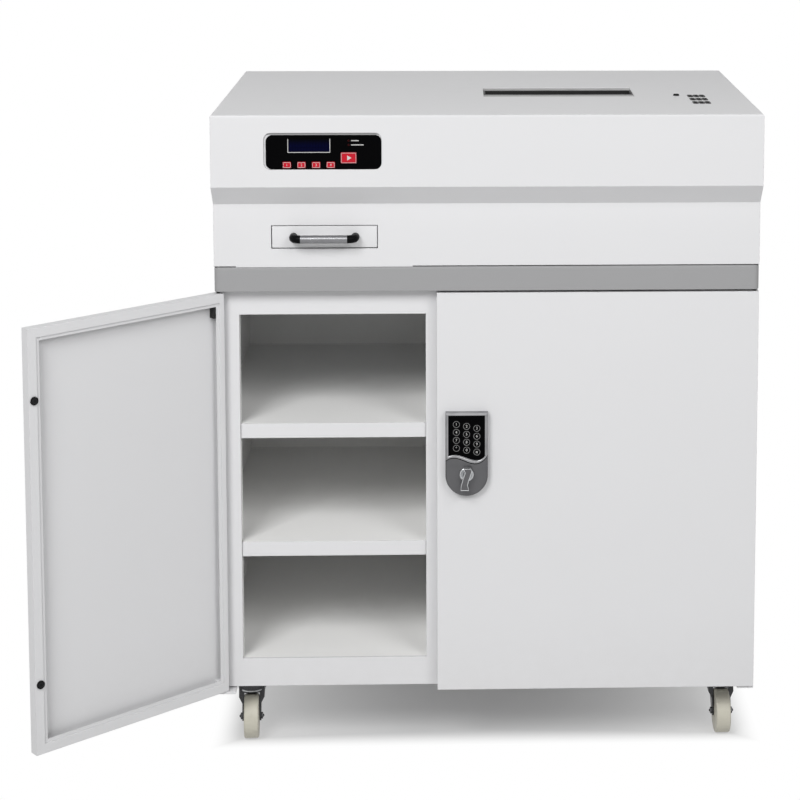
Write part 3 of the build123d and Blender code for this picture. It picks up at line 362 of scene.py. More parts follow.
class Finish(NodeMaker):
    """One procedural material, built on Object coordinates."""

    def __init__(self, name):
        self.material = bpy.data.materials.new(name)
        self.material.use_nodes = True
        super().__init__(self.material.node_tree)
        self.surface = self.tree.nodes["Principled BSDF"]
        self.place = self.node("ShaderNodeTexCoord", out="Object")

    def set(self, **sockets):
        """Feed sockets of the surface, named with underscores for spaces."""
        for key, value in sockets.items():
            self.feed(self.surface.inputs[key.replace("_", " ")], value)
        return self

    def noise(self, scale, detail=2.0, stretch=(1.0, 1.0, 1.0)):
        """Cloudy value from 0 to 1, with so many cells to a metre."""
        where = self.node("ShaderNodeMapping", None, {"Vector": self.place, "Scale": stretch})
        sockets = {"Vector": where, "Scale": scale, "Detail": detail}
        return self.node("ShaderNodeTexNoise", None, sockets)

    def ramp(self, value, low, high):
        """Stretch a value so that low becomes 0 and high becomes 1."""
        sockets = {"Value": value, "From Min": low, "From Max": high}
        return self.node("ShaderNodeMapRange", None, sockets)

    def reach(self, letter):
        """Distance from the middle along one axis, in metres."""
        return self.node("ShaderNodeMath", {"operation": "ABSOLUTE"}, {0: self.axis(letter)})

    def axis(self, letter):
        """One coordinate of the place, in metres."""
        return self.node("ShaderNodeSeparateXYZ", None, {"Vector": self.place}, out=letter)

    def mix(self, factor, first, second):
        """Blend two colours."""
        sockets = {0: factor, 6: first, 7: second}
        return self.node("ShaderNodeMix", {"data_type": "RGBA"}, sockets, out=2)

    def relief(self, height, depth, edge=0.0):
        """Normal with a fine relief, on edges that are rounded by so much."""
        sockets = {"Height": height, "Distance": depth, "Strength": 1.0}
        if edge:
            sockets["Normal"] = self.node("ShaderNodeBevel", {"samples": 6}, {"Radius": edge})
        return self.node("ShaderNodeBump", None, sockets)


def rgba(colour, gain=1.0):
    """Colour with alpha, lighter or darker by a gain."""
    return (colour[0] * gain, colour[1] * gain, colour[2] * gain, 1.0)


def coat_tone(coat, colour):
    """Colour of a powder coat: slight clouds, and dust near the floor."""
    clouds = coat.noise(2.6, 3.0)
    dust = coat.ramp(coat.axis("Z"), 0.22, 0.06) * coat.noise(60.0, 3.0)
    tone = coat.mix(clouds, rgba(colour, 0.985), rgba(colour, 1.012))
    return coat.mix(0.14 * dust, tone, rgba((0.42, 0.40, 0.37)))


def spray(coat, tone, dull=0.0):
    """Satin skin of a powder coat in one tone: orange peel and faint handling marks."""
    marks = coat.ramp(coat.noise(34.0, 4.0, (1.0, 1.0, 0.35)), 0.62, 0.80)
    peel = coat.noise(620.0, 1.0) + 0.35 * coat.noise(1900.0, 1.0)
    coat.set(
        Base_Color=tone,
        Roughness=0.40 + 0.10 * coat.noise(2.6, 3.0) + 0.10 * marks + dull,
        Specular_IOR_Level=0.35,
        Normal=coat.relief(peel, 0.000045, 0.0012),
    )
    return coat.material


def powder_coat(name, colour):
    """Powder coat of one colour."""
    coat = Finish(name)
    return spray(coat, coat_tone(coat, colour))


def within(coat, side, front, back):
    """Value that is 1 between the side walls, behind the front and before the back."""
    return (side > coat.reach("X")) * (coat.axis("Y") - front > 0.0) * (back > coat.axis("Y"))


def cabinet_coat(name, colour, painted_light_liner):
    """Powder coat of the cabinet, with a lighter coat on the faces inside it as painted light that
    lifts their shade.
    """
    coat = Finish(name)
    slack = 0.0005
    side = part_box("right_side_panel")[0].x + slack
    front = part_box("upper_shelf")[0].y + slack
    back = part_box("back_panel")[0].y + slack
    above = coat.axis("Z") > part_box("base_tray")[1].z - slack
    inside = within(coat, side, front, back) * above
    # Painted light: the faces inside wear the lighter coat, which lifts their shade.
    return spray(coat, coat.mix(inside, coat_tone(coat, colour), rgba(painted_light_liner)))


def hood_coat(name, colour, primer, sizes):
    """Powder coat on the outside of the head, grey primer on its inside."""
    coat = Finish(name)
    low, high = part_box("head_cover")
    skin = sizes.sheet
    setback, foot, head = sizes.slant
    front = low.y + setback - setback * coat.ramp(coat.axis("Z"), foot, head) + skin
    inside = within(coat, high.x - skin, front, high.y - skin) * (high.z - skin > coat.axis("Z"))
    return spray(coat, coat.mix(inside, coat_tone(coat, colour), rgba(primer)), 0.25 * inside)


def throat_coat(name, colour, sizes):
    """Grey coat of the feed throat, with painted shade that turns it black down the funnel and
    across the slit between its lips.
    """
    coat = Finish(name)
    low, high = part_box("throat_plate")
    # Painted shade: black below the throat's top edge, and black across the slit between its front
    # and back lips.
    depth = coat.ramp(coat.axis("Z"), high.z - sizes.throat_shade_edge[0], high.z - sizes.throat_shade_edge[1])
    front, back = low.y + sizes.throat_unshaded_lip[0], high.y - sizes.throat_unshaded_lip[1]
    wear_and_shade = (coat.axis("Y") > front) * (back > coat.axis("Y"))
    depth = depth.math("MAXIMUM", depth, wear_and_shade)
    worn = coat.ramp(coat.noise(70.0, 4.0, (0.4, 1.0, 1.0)), 0.45, 0.75)
    tone = coat.mix(0.3 * worn, rgba(colour), rgba(colour, 0.7))
    coat.set(
        Base_Color=coat.mix(depth, tone, rgba((0.012, 0.012, 0.012))),
        Roughness=0.42 + 0.2 * worn,
        Specular_IOR_Level=0.1,
        Normal=coat.relief(coat.noise(620.0, 1.0), 0.00004, 0.001),
    )
    return coat.material


def plated_steel(name, colour):
    """Zinc plated sheet: cloudy crystals, fine drawn lines and a dull sheen."""
    plate = Finish(name)
    bloom = plate.node(
        "ShaderNodeTexVoronoi",
        {"feature": "F1"},
        {"Vector": plate.place, "Scale": 130.0, "Randomness": 1.0},
        out="Color",
    )
    grey = plate.node("ShaderNodeRGBToBW", None, {"Color": bloom})
    lines = plate.noise(300.0, 2.0, (0.08, 1.0, 1.0))
    stains = plate.ramp(plate.noise(18.0, 4.0), 0.50, 0.75)
    tone = plate.mix(grey, rgba(colour, 0.86), rgba(colour, 1.08))
    plate.set(
        Base_Color=plate.mix(0.35 * stains, tone, rgba(colour, 0.62)),
        Metallic=0.85,
        Roughness=0.32 + 0.16 * grey + 0.12 * stains,
        Normal=plate.relief(lines, 0.00002, 0.0007),
    )
    return plate.material


def ground_steel(name, colour, stretch=(0.03, 1.0, 1.0), dark=0.7):
    """Ground or brushed steel with lines that run one way and a few oil marks."""
    steel = Finish(name)
    lines = steel.noise(900.0, 2.0, stretch)
    oil = steel.ramp(steel.noise(40.0, 3.0), 0.48, 0.72)
    tone = steel.mix(lines, rgba(colour, 0.88), rgba(colour, 1.10))
    steel.set(
        Base_Color=steel.mix(0.5 * oil, tone, rgba(colour, dark)),
        Metallic=1.0,
        Roughness=0.20 + 0.16 * lines + 0.10 * oil,
        Normal=steel.relief(lines, 0.000012, 0.0005),
    )
    return steel.material


def moulded_plastic(name, colour, rough=0.5, shine=0.3, edge=0.0006):
    """Moulded plastic or blackened steel with a fine spark grain and worn patches."""
    shell = Finish(name)
    spark = shell.noise(1500.0, 2.0)
    worn = shell.ramp(shell.noise(55.0, 4.0), 0.52, 0.78)
    shell.set(
        Base_Color=shell.mix(0.35 * worn, rgba(colour), rgba(colour, 1.7)),
        Roughness=rough + 0.10 * spark - 0.08 * worn,
        Specular_IOR_Level=shine,
        Normal=shell.relief(spark, 0.00006, edge),
    )
    return shell.material


def pin_blocks(name, black, coat, split):
    """Door pins: black blocks at the top, blocks coated like the cabinet below the split."""
    block = Finish(name)
    upper = block.axis("Z") > split
    spark = block.noise(1500.0, 2.0)
    worn = block.ramp(block.noise(55.0, 4.0), 0.52, 0.78)
    dark = block.mix(0.35 * worn, rgba(black), rgba(black, 1.7))
    block.set(
        Base_Color=block.mix(upper, coat_tone(block, coat), dark),
        Roughness=0.34 + 0.10 * spark - 0.06 * worn,
        Specular_IOR_Level=0.35,
        Normal=block.relief(spark, 0.00005, 0.0006),
    )
    return block.material


def panel_margin(name, pale, grey, split):
    """Painted margin of the key panel, pale at its sides and grey above the split, where the grey
    is painted shade.
    """
    margin = Finish(name)
    spark = margin.noise(1500.0, 2.0)
    # Painted shade: grey above the split, where the recess's top edge would shade the margin.
    tone = margin.mix(margin.axis("Z") > split, rgba(pale), rgba(grey))
    margin.set(
        Base_Color=margin.mix(0.2 * margin.noise(70.0, 4.0), tone, rgba(grey, 0.8)),
        Roughness=0.46 + 0.10 * spark,
        Specular_IOR_Level=0.3,
        Normal=margin.relief(spark, 0.00004, 0.0006),
    )
    return margin.material


def gloss_panel(name, colour, rough=0.3, shine=0.015):
    """Foil or acrylic, faintly wavy, with dust and finger marks that dull its gloss."""
    panel = Finish(name)
    wave = panel.noise(45.0, 1.0)
    dust = panel.noise(2600.0, 1.0) > 0.78
    prints = panel.ramp(panel.noise(120.0, 4.0), 0.55, 0.72)
    panel.set(
        Base_Color=panel.mix(0.04 * dust, rgba(colour), (0.35, 0.35, 0.35, 1.0)),
        Roughness=rough + 0.16 * prints + 0.10 * dust,
        Specular_IOR_Level=shine,
        Normal=panel.relief(wave, 0.00008, 0.0004),
    )
    return panel.material


def display_window(sizes):
    """Left, foot, right and top of the display's window in its black overlay."""
    low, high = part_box("lcd_module")
    side, sill = sizes.display_sill
    right, foot = sizes.display_trim
    return low.x + side, low.z + sill + foot, high.x - side - right, high.z - sill


def display_glass(name, colour, black, sizes):
    """Blue display: faint rows of unlit cells behind gloss glass, black past its window, with
    painted shade darkening it to black towards its top.
    """
    glass = Finish(name)
    low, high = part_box("lcd_module")
    foot, right, top = display_window(sizes)[1:]
    # Painted shade: the display fades to black towards its top.
    fade = glass.ramp(glass.axis("Z"), top, top - sizes.display_top_shade)
    shown = (right > glass.axis("X")) * (glass.axis("Z") > foot) * fade
    turned = {"Location": (-low.x, low.z, 0.0), "Rotation": (-math.pi / 2, 0.0, 0.0)}
    cells = glass.node(
        "ShaderNodeTexBrick",
        {"offset": 0.0},
        {
            "Vector": glass.node("ShaderNodeMapping", None, {"Vector": glass.place, **turned}),
            "Color1": (1.0, 1.0, 1.0, 1.0),
            "Color2": (0.8, 0.8, 0.8, 1.0),
            "Mortar": (0.0, 0.0, 0.0, 1.0),
            "Scale": 1.0,
            "Mortar Size": 0.0004,
            "Brick Width": (high.x - low.x) / 18,
            "Row Height": (high.z - low.z) / 3,
        },
    )
    glow = glass.node("ShaderNodeRGBToBW", None, {"Color": cells})
    smear = glass.ramp(glass.noise(70.0, 4.0), 0.5, 0.75)
    lit = glass.mix(0.5 * glow, rgba(colour), rgba(colour, 2.2))
    glass.set(
        Base_Color=glass.mix(shown, rgba(black), lit),
        Roughness=0.26 + 0.14 * smear,
        Specular_IOR_Level=0.015,
        Normal=glass.relief(smear, 0.00002),
    )
    return glass.material


def pale_tread(name, colour):
    """Hard castor tread: fine grain, road dirt and scuffs, darker towards its bottom."""
    tread = Finish(name)
    grain = tread.noise(800.0, 3.0)
    dirt = tread.ramp(tread.noise(60.0, 4.0), 0.50, 0.85)
    # Darker towards the bottom of the tread.
    low = tread.ramp(tread.axis("Z"), 0.022, 0.0)
    tone = tread.mix(dirt, rgba(colour, 1.03), rgba(colour, 0.85))
    tread.set(
        Base_Color=tread.mix(0.25 * low, tone, rgba(colour, 0.6)),
        Roughness=0.46 + 0.20 * dirt,
        Normal=tread.relief(grain + dirt, 0.00006, 0.0010),
    )
    return tread.material


def wave_terms(sizes):
    """Half width of the lock's wave and the two terms of its swell across that width."""
    low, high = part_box("keypad_panel")
    half = (high.x - low.x) / 2
    bend = sizes.wave_bend / half
    room = 2 * (1 - bend * bend)
    lift = (sizes.wave_crest - sizes.wave_trough) / room
    lean = -(sizes.wave_crest + sizes.wave_trough) / (room * bend)
    return half, lift, lean


def lock_casting(name, dark, bright, sizes):
    """Brushed lock casting: bright frame round the keypad, dark satin body below the wave, and a
    painted shadow line just below the wave.
    """
    casting = Finish(name)
    low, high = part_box("lock_housing")
    half, lift, lean = wave_terms(sizes)
    across = (casting.axis("X") - (low.x + high.x) / 2) * (1 / half)
    swell = (1 - across * across) * (lift + lean * across)
    above = casting.axis("Z") - swell - (high.z - sizes.wave_drop - sizes.wave_width)
    upper = above > 0.0
    # Painted shadow: a dark line just below the wave.
    wave_shadow = (above > -sizes.wave_shadow_width) * (1 - upper)
    lines = casting.noise(900.0, 2.0, (1.0, 1.0, 0.05))
    wear_and_shade = casting.ramp(casting.noise(60.0, 3.0), 0.45, 0.75)
    tone = casting.mix(upper, rgba(dark), rgba(bright))
    tone = casting.mix(0.25 * wear_and_shade, tone, rgba(dark, 0.7))
    casting.set(
        Base_Color=casting.mix(wave_shadow, tone, rgba(dark, 0.1)),
        Metallic=0.55 + 0.35 * upper,
        Roughness=0.34 + 0.14 * lines + 0.10 * wear_and_shade,
        Specular_IOR_Level=0.3,
        Normal=casting.relief(lines, 0.000012, 0.0006),
    )
    return casting.material


def coil_winding(name, colour):
    """Enamelled copper wire, laid side by side round the sleeve."""
    coil = Finish(name)
    turns = coil.node(
        "ShaderNodeTexWave",
        {"bands_direction": "Y"},
        {"Vector": coil.place, "Scale": 140.0, "Distortion": 0.6, "Detail": 1.0},
    )
    age = coil.noise(30.0, 3.0)
    coil.set(
        Base_Color=coil.mix(turns, rgba(colour, 0.45), rgba(colour, 1.1)),
        Metallic=0.9,
        Roughness=0.26 + 0.20 * age,
        Normal=coil.relief(turns, 0.0004),
    )
    return coil.material


def printed_mark(name, colour):
    """Pale print: matt ink, slightly uneven."""
    ink = Finish(name)
    uneven = ink.noise(900.0, 2.0)
    ink.set(
        Base_Color=ink.mix(uneven, rgba(colour, 0.82), rgba(colour, 1.08)),
        Roughness=0.5 + 0.15 * uneven,
        Normal=ink.relief(uneven, 0.00001),
    )
    return ink.material


def settle(mesh_maker, name, body, finish, smooth=35.0):
    """Turn a bmesh into a named piece that rides on a body and wears a finish."""
    bmesh.ops.recalc_face_normals(mesh_maker, faces=mesh_maker.faces)
    mesh = bpy.data.meshes.new(name)
    mesh_maker.to_mesh(mesh)
    mesh_maker.free()
    piece = bpy.data.objects.new(name, mesh)
    bpy.context.scene.collection.objects.link(piece)
    mesh.materials.append(bpy.data.materials[finish])
    mesh.shade_smooth()
    mesh.set_sharp_from_angle(angle=math.radians(smooth))
    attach(piece, body)
    return piece


def facing(place, normal):
    """Matrix that puts a shape drawn in XY, with Z outwards, at a place on a surface."""
    turn = Vector((0.0, 0.0, 1.0)).rotation_difference(Vector(normal)).to_matrix().to_4x4()
    return Matrix.Translation(Vector(place)) @ turn


def joint_place(name):
    """Place of a joint, in metres."""
    return next(Vector(joint["pos_m"]) for joint in frame["joints"] if joint["name"] == name)


def round_off(maker, edges, offset, segments=3):
    """Round a few edges."""
    bmesh.ops.bevel(
        maker, geom=edges, offset=offset, segments=segments, profile=0.5, affect="EDGES",
        material=-1,
    )


def add_post(maker, place, normal, radius, height, segments):
    """Add a straight post that stands on a surface, and give back its end face."""
    made = bmesh.ops.create_cone(
        maker, cap_ends=True, segments=segments, radius1=radius, radius2=radius, depth=height,
        matrix=facing(place, normal) @ Matrix.Translation((0.0, 0.0, height / 2)),
    )
    return max(
        {face for vert in made["verts"] for face in vert.link_faces},
        key=lambda face: face.calc_center_median().dot(Vector(normal)),
    )


def add_screw(maker, place, normal, radius, height, segments=18):
    """Pan head with a round shoulder and a socket."""
    top = add_post(maker, place, normal, radius, height, segments)
    rim = list(top.edges)
    bmesh.ops.inset_region(maker, faces=[top], thickness=radius * 0.52)
    bmesh.ops.translate(maker, verts=list(top.verts), vec=-Vector(normal) * height * 0.55)
    round_off(maker, rim, height * 0.5)


def add_nut(maker, place, normal, radius, height):
    """Hexagon nut with chamfered corners and a domed end."""
    top = add_post(maker, place, normal, radius, height, 6)
    round_off(maker, list(top.edges), height * 0.18, 2)
    bmesh.ops.create_uvsphere(
        maker, u_segments=14, v_segments=8, radius=radius * 0.55,
        matrix=facing(place, normal) @ Matrix.Translation((0.0, 0.0, height * 0.72)),
    )


def raise_faces(maker, faces, lift):
    """Give flat faces a thickness along a vector."""
    raised = bmesh.ops.extrude_face_region(maker, geom=faces)["geom"]
    verts = [item for item in raised if isinstance(item, bmesh.types.BMVert)]
    bmesh.ops.translate(maker, verts=verts, vec=lift)


def cut_rim(maker, face, width):
    """Cut a flat face down to a rim of one width, and give back the rim's faces."""
    rim = bmesh.ops.inset_region(
        maker, faces=[face], thickness=width, use_boundary=True, use_even_offset=True
    )
    bmesh.ops.delete(maker, geom=[face], context="FACES_ONLY")
    return rim["faces"]


def add_outline(maker, points, y):
    """Flat face in the XZ plane at depth y, through a few points."""
    face = maker.faces.new([maker.verts.new((x, y, z)) for x, z in points])
    face.normal_update()
    return face


def add_plate(maker, low, high, y):
    """Flat face in the XZ plane at depth y, between two corners."""
    corners = [(low[0], low[1]), (high[0], low[1]), (high[0], high[1]), (low[0], high[1])]
    return add_outline(maker, corners, y)


def add_sign(maker, sign, centre, size, thickness):
    """Set one sign in type, make it a mesh and put it in place, facing the front."""
    letter = bpy.data.curves.new("sign", "FONT")
    letter.body = sign
    letter.size = size
    letter.align_x = "CENTER"
    letter.align_y = "CENTER"
    letter.extrude = thickness
    holder = bpy.data.objects.new("sign", letter)
    bpy.context.scene.collection.objects.link(holder)
    bpy.context.view_layer.update()
    graph = bpy.context.evaluated_depsgraph_get()
    mesh = bpy.data.meshes.new_from_object(holder.evaluated_get(graph))
    mesh.transform(Matrix.Translation(centre) @ Matrix.Rotation(math.pi / 2, 4, "X"))
    maker.from_mesh(mesh)
    bpy.data.objects.remove(holder)
    bpy.data.curves.remove(letter)
    bpy.data.meshes.remove(mesh)


class SHREDDER_OT_finishes(bpy.types.Operator):
    """Make every finish and give it to the solids that wear it"""

    bl_idname = "shredder.finishes"
    bl_label = "Finishes"

    def execute(self, context):
        tint = context.scene.shredder_colours
        sizes = context.scene.shredder_sizes
        fascia_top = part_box("control_fascia")[1].z
        worn_by = {
            cabinet_coat("cabinet_coat", tint.coat, tint.painted_light_liner): [
                "base_plate", "base_tray", "left_side_panel", "right_side_panel", "back_panel",
                "front_frame", "centre_partition", "upper_shelf", "lower_shelf", "hinge_brackets",
                "drawer_front", "left_door_panel", "right_door_panel",
            ],
            hood_coat("head_coat", tint.coat, tint.primer, sizes): ["head_cover"],
            throat_coat("throat_coat", tint.throat, sizes): ["throat_plate"],
            powder_coat("belt_coat", tint.belt): ["belt_trim"],
            plated_steel("zinc_plate", tint.zinc): [
                "machine_bed", "drawer_sleeve", "drawer_tray", "castor_plates",
                "cutter_side_plates", "cutter_tie_bars",
            ],
            ground_steel("cutter_steel", tint.steel, (1.0, 0.3, 0.3), 0.35): [
                "front_cutter_shaft", "rear_cutter_shaft", "front_timing_gear", "rear_timing_gear",
                "stripper_combs",
            ],
            ground_steel("grip_steel", tint.grip): ["handle_grip", "lock_cam"],
            ground_steel("bush_bronze", tint.bronze): ["shaft_bearings"],
            pin_blocks("pin_blocks", tint.black, tint.coat, sizes.pin_split): [
                "left_door_hinge_pins", "right_door_hinge_pins",
            ],
            ground_steel("fork_steel", tint.fork, (1.0, 1.0, 0.1), 0.6): [
                corner + "_castor_fork" for corner in CASTORS
            ],
            moulded_plastic("black_plastic", tint.black, 0.30, 0.04): [
                "handle_posts", "lock_rear_case", "power_inlet", "top_button",
            ],
            moulded_plastic("black_rubber", tint.black, 0.7, 0.2): ["left_door_bumpers"],
            gloss_panel("panel_overlay", tint.overlay): ["control_fascia", "keypad_panel"],
            panel_margin("panel_margin", tint.margin, tint.carrier, fascia_top): ["fascia_carrier"],
            gloss_panel("key_caps", tint.keys, 0.4, 0.2): [*FUNCTION_KEYS, "start_key"],
            gloss_panel("lamp_lens", tint.lamps, 0.2, 0.05): ["status_lenses"],
            display_glass("display_glass", tint.display, tint.overlay, sizes): ["lcd_module"],
            lock_casting("lock_casting", tint.gunmetal, tint.bright, sizes): ["lock_housing"],
            ground_steel("lock_bright", tint.bright, (1.0, 1.0, 0.1), 0.8): [],
            ground_steel("knob_steel", tint.zinc, (1.0, 1.0, 0.1), 0.8): [],
            coil_winding("coil_copper", tint.copper): ["degauss_coil"],
            powder_coat("motor_paint", tint.motor): ["drive_motor"],
            moulded_plastic("bin_plastic", tint.bin, 0.55): ["waste_bin"],
            pale_tread("castor_tread", tint.tyre): [
                corner + "_castor_wheel" for corner in CASTORS
            ],
            printed_mark("pale_print", tint.prints): [],
            printed_mark("ring_print", tint.rings): [],
        }
        for material, names in worn_by.items():
            for name in names:
                mesh = frame["nodes"][name].data
                mesh.materials.clear()
                mesh.materials.append(material)
        return {"FINISHED"}


class SHREDDER_OT_thumb_turn(bpy.types.Operator):
    """Thumb turn of the lock: a turned disc and a waisted lever with a dark inlay"""

    bl_idname = "shredder.thumb_turn"
    bl_label = "Thumb turn"

    def execute(self, context):
        sizes = context.scene.shredder_sizes
        centre = joint_place("thumb_turn_spindle")
        low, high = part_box("lock_knob")
        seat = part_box("lock_housing")[0].y - sizes.knob_gap
        disc_y = low.y + sizes.lever_height
        maker = bmesh.new()
        place = (centre.x, seat, centre.z)
        add_screw(maker, place, FRONT, (high.x - low.x) / 2, seat - disc_y, 44)
        add_post(maker, place, BACK, sizes.spindle_radius, high.y - seat, 24)
        points = [(centre.x + x, centre.z + z) for x, z in LEVER_POINTS]
        lever = add_outline(maker, points, disc_y + sizes.lever_sink)
        raised = bmesh.ops.extrude_face_region(maker, geom=[lever])["geom"]
        crown = next(item for item in raised if isinstance(item, bmesh.types.BMFace))
        lift = (0.0, low.y - disc_y - sizes.lever_sink, 0.0)
        bmesh.ops.translate(maker, verts=list(crown.verts), vec=lift)
        crown.normal_update()
        rim = list(crown.edges)
        bmesh.ops.inset_region(maker, faces=[crown], thickness=sizes.lever_rim)
        bmesh.ops.translate(maker, verts=list(crown.verts), vec=(0.0, sizes.lever_rim * 0.6, 0.0))
        inlay = bmesh.new()
        sunk = [(vert.co.x, vert.co.z) for vert in crown.verts]
        plate = add_outline(inlay, sunk, crown.verts[0].co.y)
        raise_faces(inlay, [plate], (0.0, -sizes.inlay_height, 0.0))
        round_off(maker, rim, sizes.lever_rim * 0.4)
        knob = settle(maker, "thumb_turn_knob", "thumb_turn", "knob_steel")
        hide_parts("lock_knob")
        settle(inlay, "thumb_turn_inlay", "thumb_turn", "lock_casting")
        return {"FINISHED"}


class SHREDDER_OT_lock_wave(bpy.types.Operator):
    """Bright wave that closes the lock's frame below its keypad"""

    bl_idname = "shredder.lock_wave"
    bl_label = "Lock wave"

    def execute(self, context):
        sizes = context.scene.shredder_sizes
        low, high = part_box("lock_housing")
        middle = (low.x + high.x) / 2
        half, lift, lean = wave_terms(sizes)
        reach = (high.x - low.x) / 2 - sizes.wave_margin
        start = (middle, low.y, high.z - sizes.wave_drop - sizes.wave_width / 2)
        maker = bmesh.new()
        bmesh.ops.create_grid(
            maker, x_segments=36, y_segments=1, size=1.0,
            matrix=facing(start, FRONT) @ Matrix.Diagonal((reach, sizes.wave_width / 2, 1.0, 1.0)),
        )
        for vert in maker.verts:
            across = (vert.co.x - middle) / half
            vert.co.z += (1 - across * across) * (lift + lean * across)
        raise_faces(maker, list(maker.faces), (0.0, -sizes.trim_height, 0.0))
        half_way = low.y - sizes.trim_height / 2
        crown = [edge for edge in maker.edges if all(vert.co.y < half_way for vert in edge.verts)]
        rim = [edge for edge in crown if abs(edge.calc_face_angle(0.0)) > 1.0]
        round_off(maker, rim, sizes.trim_height * 0.8)
        settle(maker, "lock_wave", "right_door", "lock_bright")
        return {"FINISHED"}


class SHREDDER_OT_keypad_marks(bpy.types.Operator):
    """Rings and digits printed on the touch keypad"""

    bl_idname = "shredder.keypad_marks"
    bl_label = "Keypad marks"

    def execute(self, context):
        sizes = context.scene.shredder_sizes
        low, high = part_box("keypad_panel")
        column_pitch, row_pitch, column_drop = sizes.ring_pitch
        first = Vector(((low.x + high.x) / 2 - column_pitch, low.y, high.z - sizes.first_ring))
        rings = bmesh.new()
        digits = bmesh.new()
        for i, sign in enumerate("123456789*0#"):
            row, column = divmod(i, 3)
            drop = column * column_drop + row * row_pitch
            centre = first + Vector((column * column_pitch, 0.0, -drop))
            made = bmesh.ops.create_circle(
                rings, cap_ends=True, segments=32, radius=sizes.ring_radius,
                matrix=facing(centre, FRONT),
            )
            rim = cut_rim(rings, made["verts"][0].link_faces[0], sizes.ring_stroke)
            raise_faces(rings, rim, (0.0, -sizes.print_thickness, 0.0))
            add_sign(digits, sign, centre, sizes.digit_height, sizes.print_thickness)
        settle(rings, "keypad_rings", "right_door", "ring_print")
        settle(digits, "keypad_digits", "right_door", "pale_print")
        return {"FINISHED"}


class SHREDDER_OT_key_borders(bpy.types.Operator):
    """Pale border on each red key, with a plain digit or a triangle in it"""

    bl_idname = "shredder.key_borders"
    bl_label = "Key borders"

    def execute(self, context):
        sizes = context.scene.shredder_sizes
        inset = sizes.key_inset
        lift = (0.0, -sizes.print_thickness, 0.0)
        for name, sign in (*zip(FUNCTION_KEYS, "1234"), ("start_key", "")):
            low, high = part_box(name)
            maker = bmesh.new()
            start, end = (low.x + inset, low.z + inset), (high.x - inset, high.z - inset)
            face = add_plate(maker, start, end, low.y)
            bmesh.ops.bevel(
                maker, geom=list(face.verts), offset=sizes.key_corner, segments=4, profile=0.5,
                affect="VERTICES", material=-1,
            )
            raise_faces(maker, cut_rim(maker, next(iter(maker.faces)), sizes.key_border), lift)
            centre = Vector(((low.x + high.x) / 2, low.y, (low.z + high.z) / 2))
            if sign:
                add_sign(maker, sign, centre, sizes.digit_height, sizes.print_thickness)
            else:
                made = bmesh.ops.create_circle(
                    maker, cap_ends=True, segments=3, radius=sizes.triangle_radius,
                    matrix=facing(centre, FRONT) @ Matrix.Rotation(-math.pi / 2, 4, "Z"),
                )
                raise_faces(maker, [made["verts"][0].link_faces[0]], lift)
            settle(maker, name + "_border", name, "pale_print")
        return {"FINISHED"}


class SHREDDER_OT_panel_lines(bpy.types.Operator):
    """Painted highlight along the display window's left, foot and right edges, and short legend
    bars beside the lamps
    """

    bl_idname = "shredder.panel_lines"
    bl_label = "Panel lines"

    def execute(self, context):
        sizes = context.scene.shredder_sizes
        face_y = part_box("control_fascia")[0].y
        lift = (0.0, -sizes.print_thickness, 0.0)
        maker = bmesh.new()
        left, foot, right, top = display_window(sizes)
        line = sizes.display_highlight_line
        face = add_plate(maker, (left - line, foot - line), (right + line, top + line), face_y)
        rim = cut_rim(maker, face, line)
        # Painted highlight: the line is left off the window's top, which lies in shade.
        lintel = max(rim, key=lambda part: part.calc_center_median().z)
        rim.remove(lintel)
        bmesh.ops.delete(maker, geom=[lintel], context="FACES")
        raise_faces(maker, rim, lift)
        low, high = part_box("status_lenses")
        beside, inside = sizes.legend_place
        x = high.x + beside
        half = sizes.legend_height / 2
        for z, length in zip((high.z - inside, low.z + inside), sizes.legend_bars):
            bar = add_plate(maker, (x, z - half), (x + length, z + half), face_y)
            raise_faces(maker, [bar], lift)
        settle(maker, "panel_lines", "cabinet", "pale_print")
        return {"FINISHED"}


class SHREDDER_OT_drawer_face(bpy.types.Operator):
    """Folded pan that brings the drawer's front up to the head's lower band"""

    bl_idname = "shredder.drawer_face"
    bl_label = "Drawer face"

    def execute(self, context):
        sizes = context.scene.shredder_sizes
        low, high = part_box("drawer_front")
        gap, depth = sizes.face_gap, sizes.face_depth
        middle = ((low.x + high.x) / 2, low.y - depth / 2, (low.z + high.z) / 2)
        extent = (high.x - low.x - 2 * gap, depth, high.z - low.z - 2 * gap, 1.0)
        maker = bmesh.new()
        shape = Matrix.Translation(middle) @ Matrix.Diagonal(extent)
        bmesh.ops.create_cube(maker, size=1.0, matrix=shape)
        maker.normal_update()
        back = max(maker.faces, key=lambda face: face.calc_center_median().y)
        bmesh.ops.inset_region(maker, faces=[back], thickness=sizes.sheet)
        bmesh.ops.translate(maker, verts=list(back.verts), vec=(0.0, sizes.sheet - depth, 0.0))
        front_y = low.y - depth + sizes.sheet / 2
        rim = [edge for edge in maker.edges if all(vert.co.y < front_y for vert in edge.verts)]
        round_off(maker, rim, sizes.sheet * 0.6)
        settle(maker, "drawer_face", "drawer", "cabinet_coat")
        return {"FINISHED"}


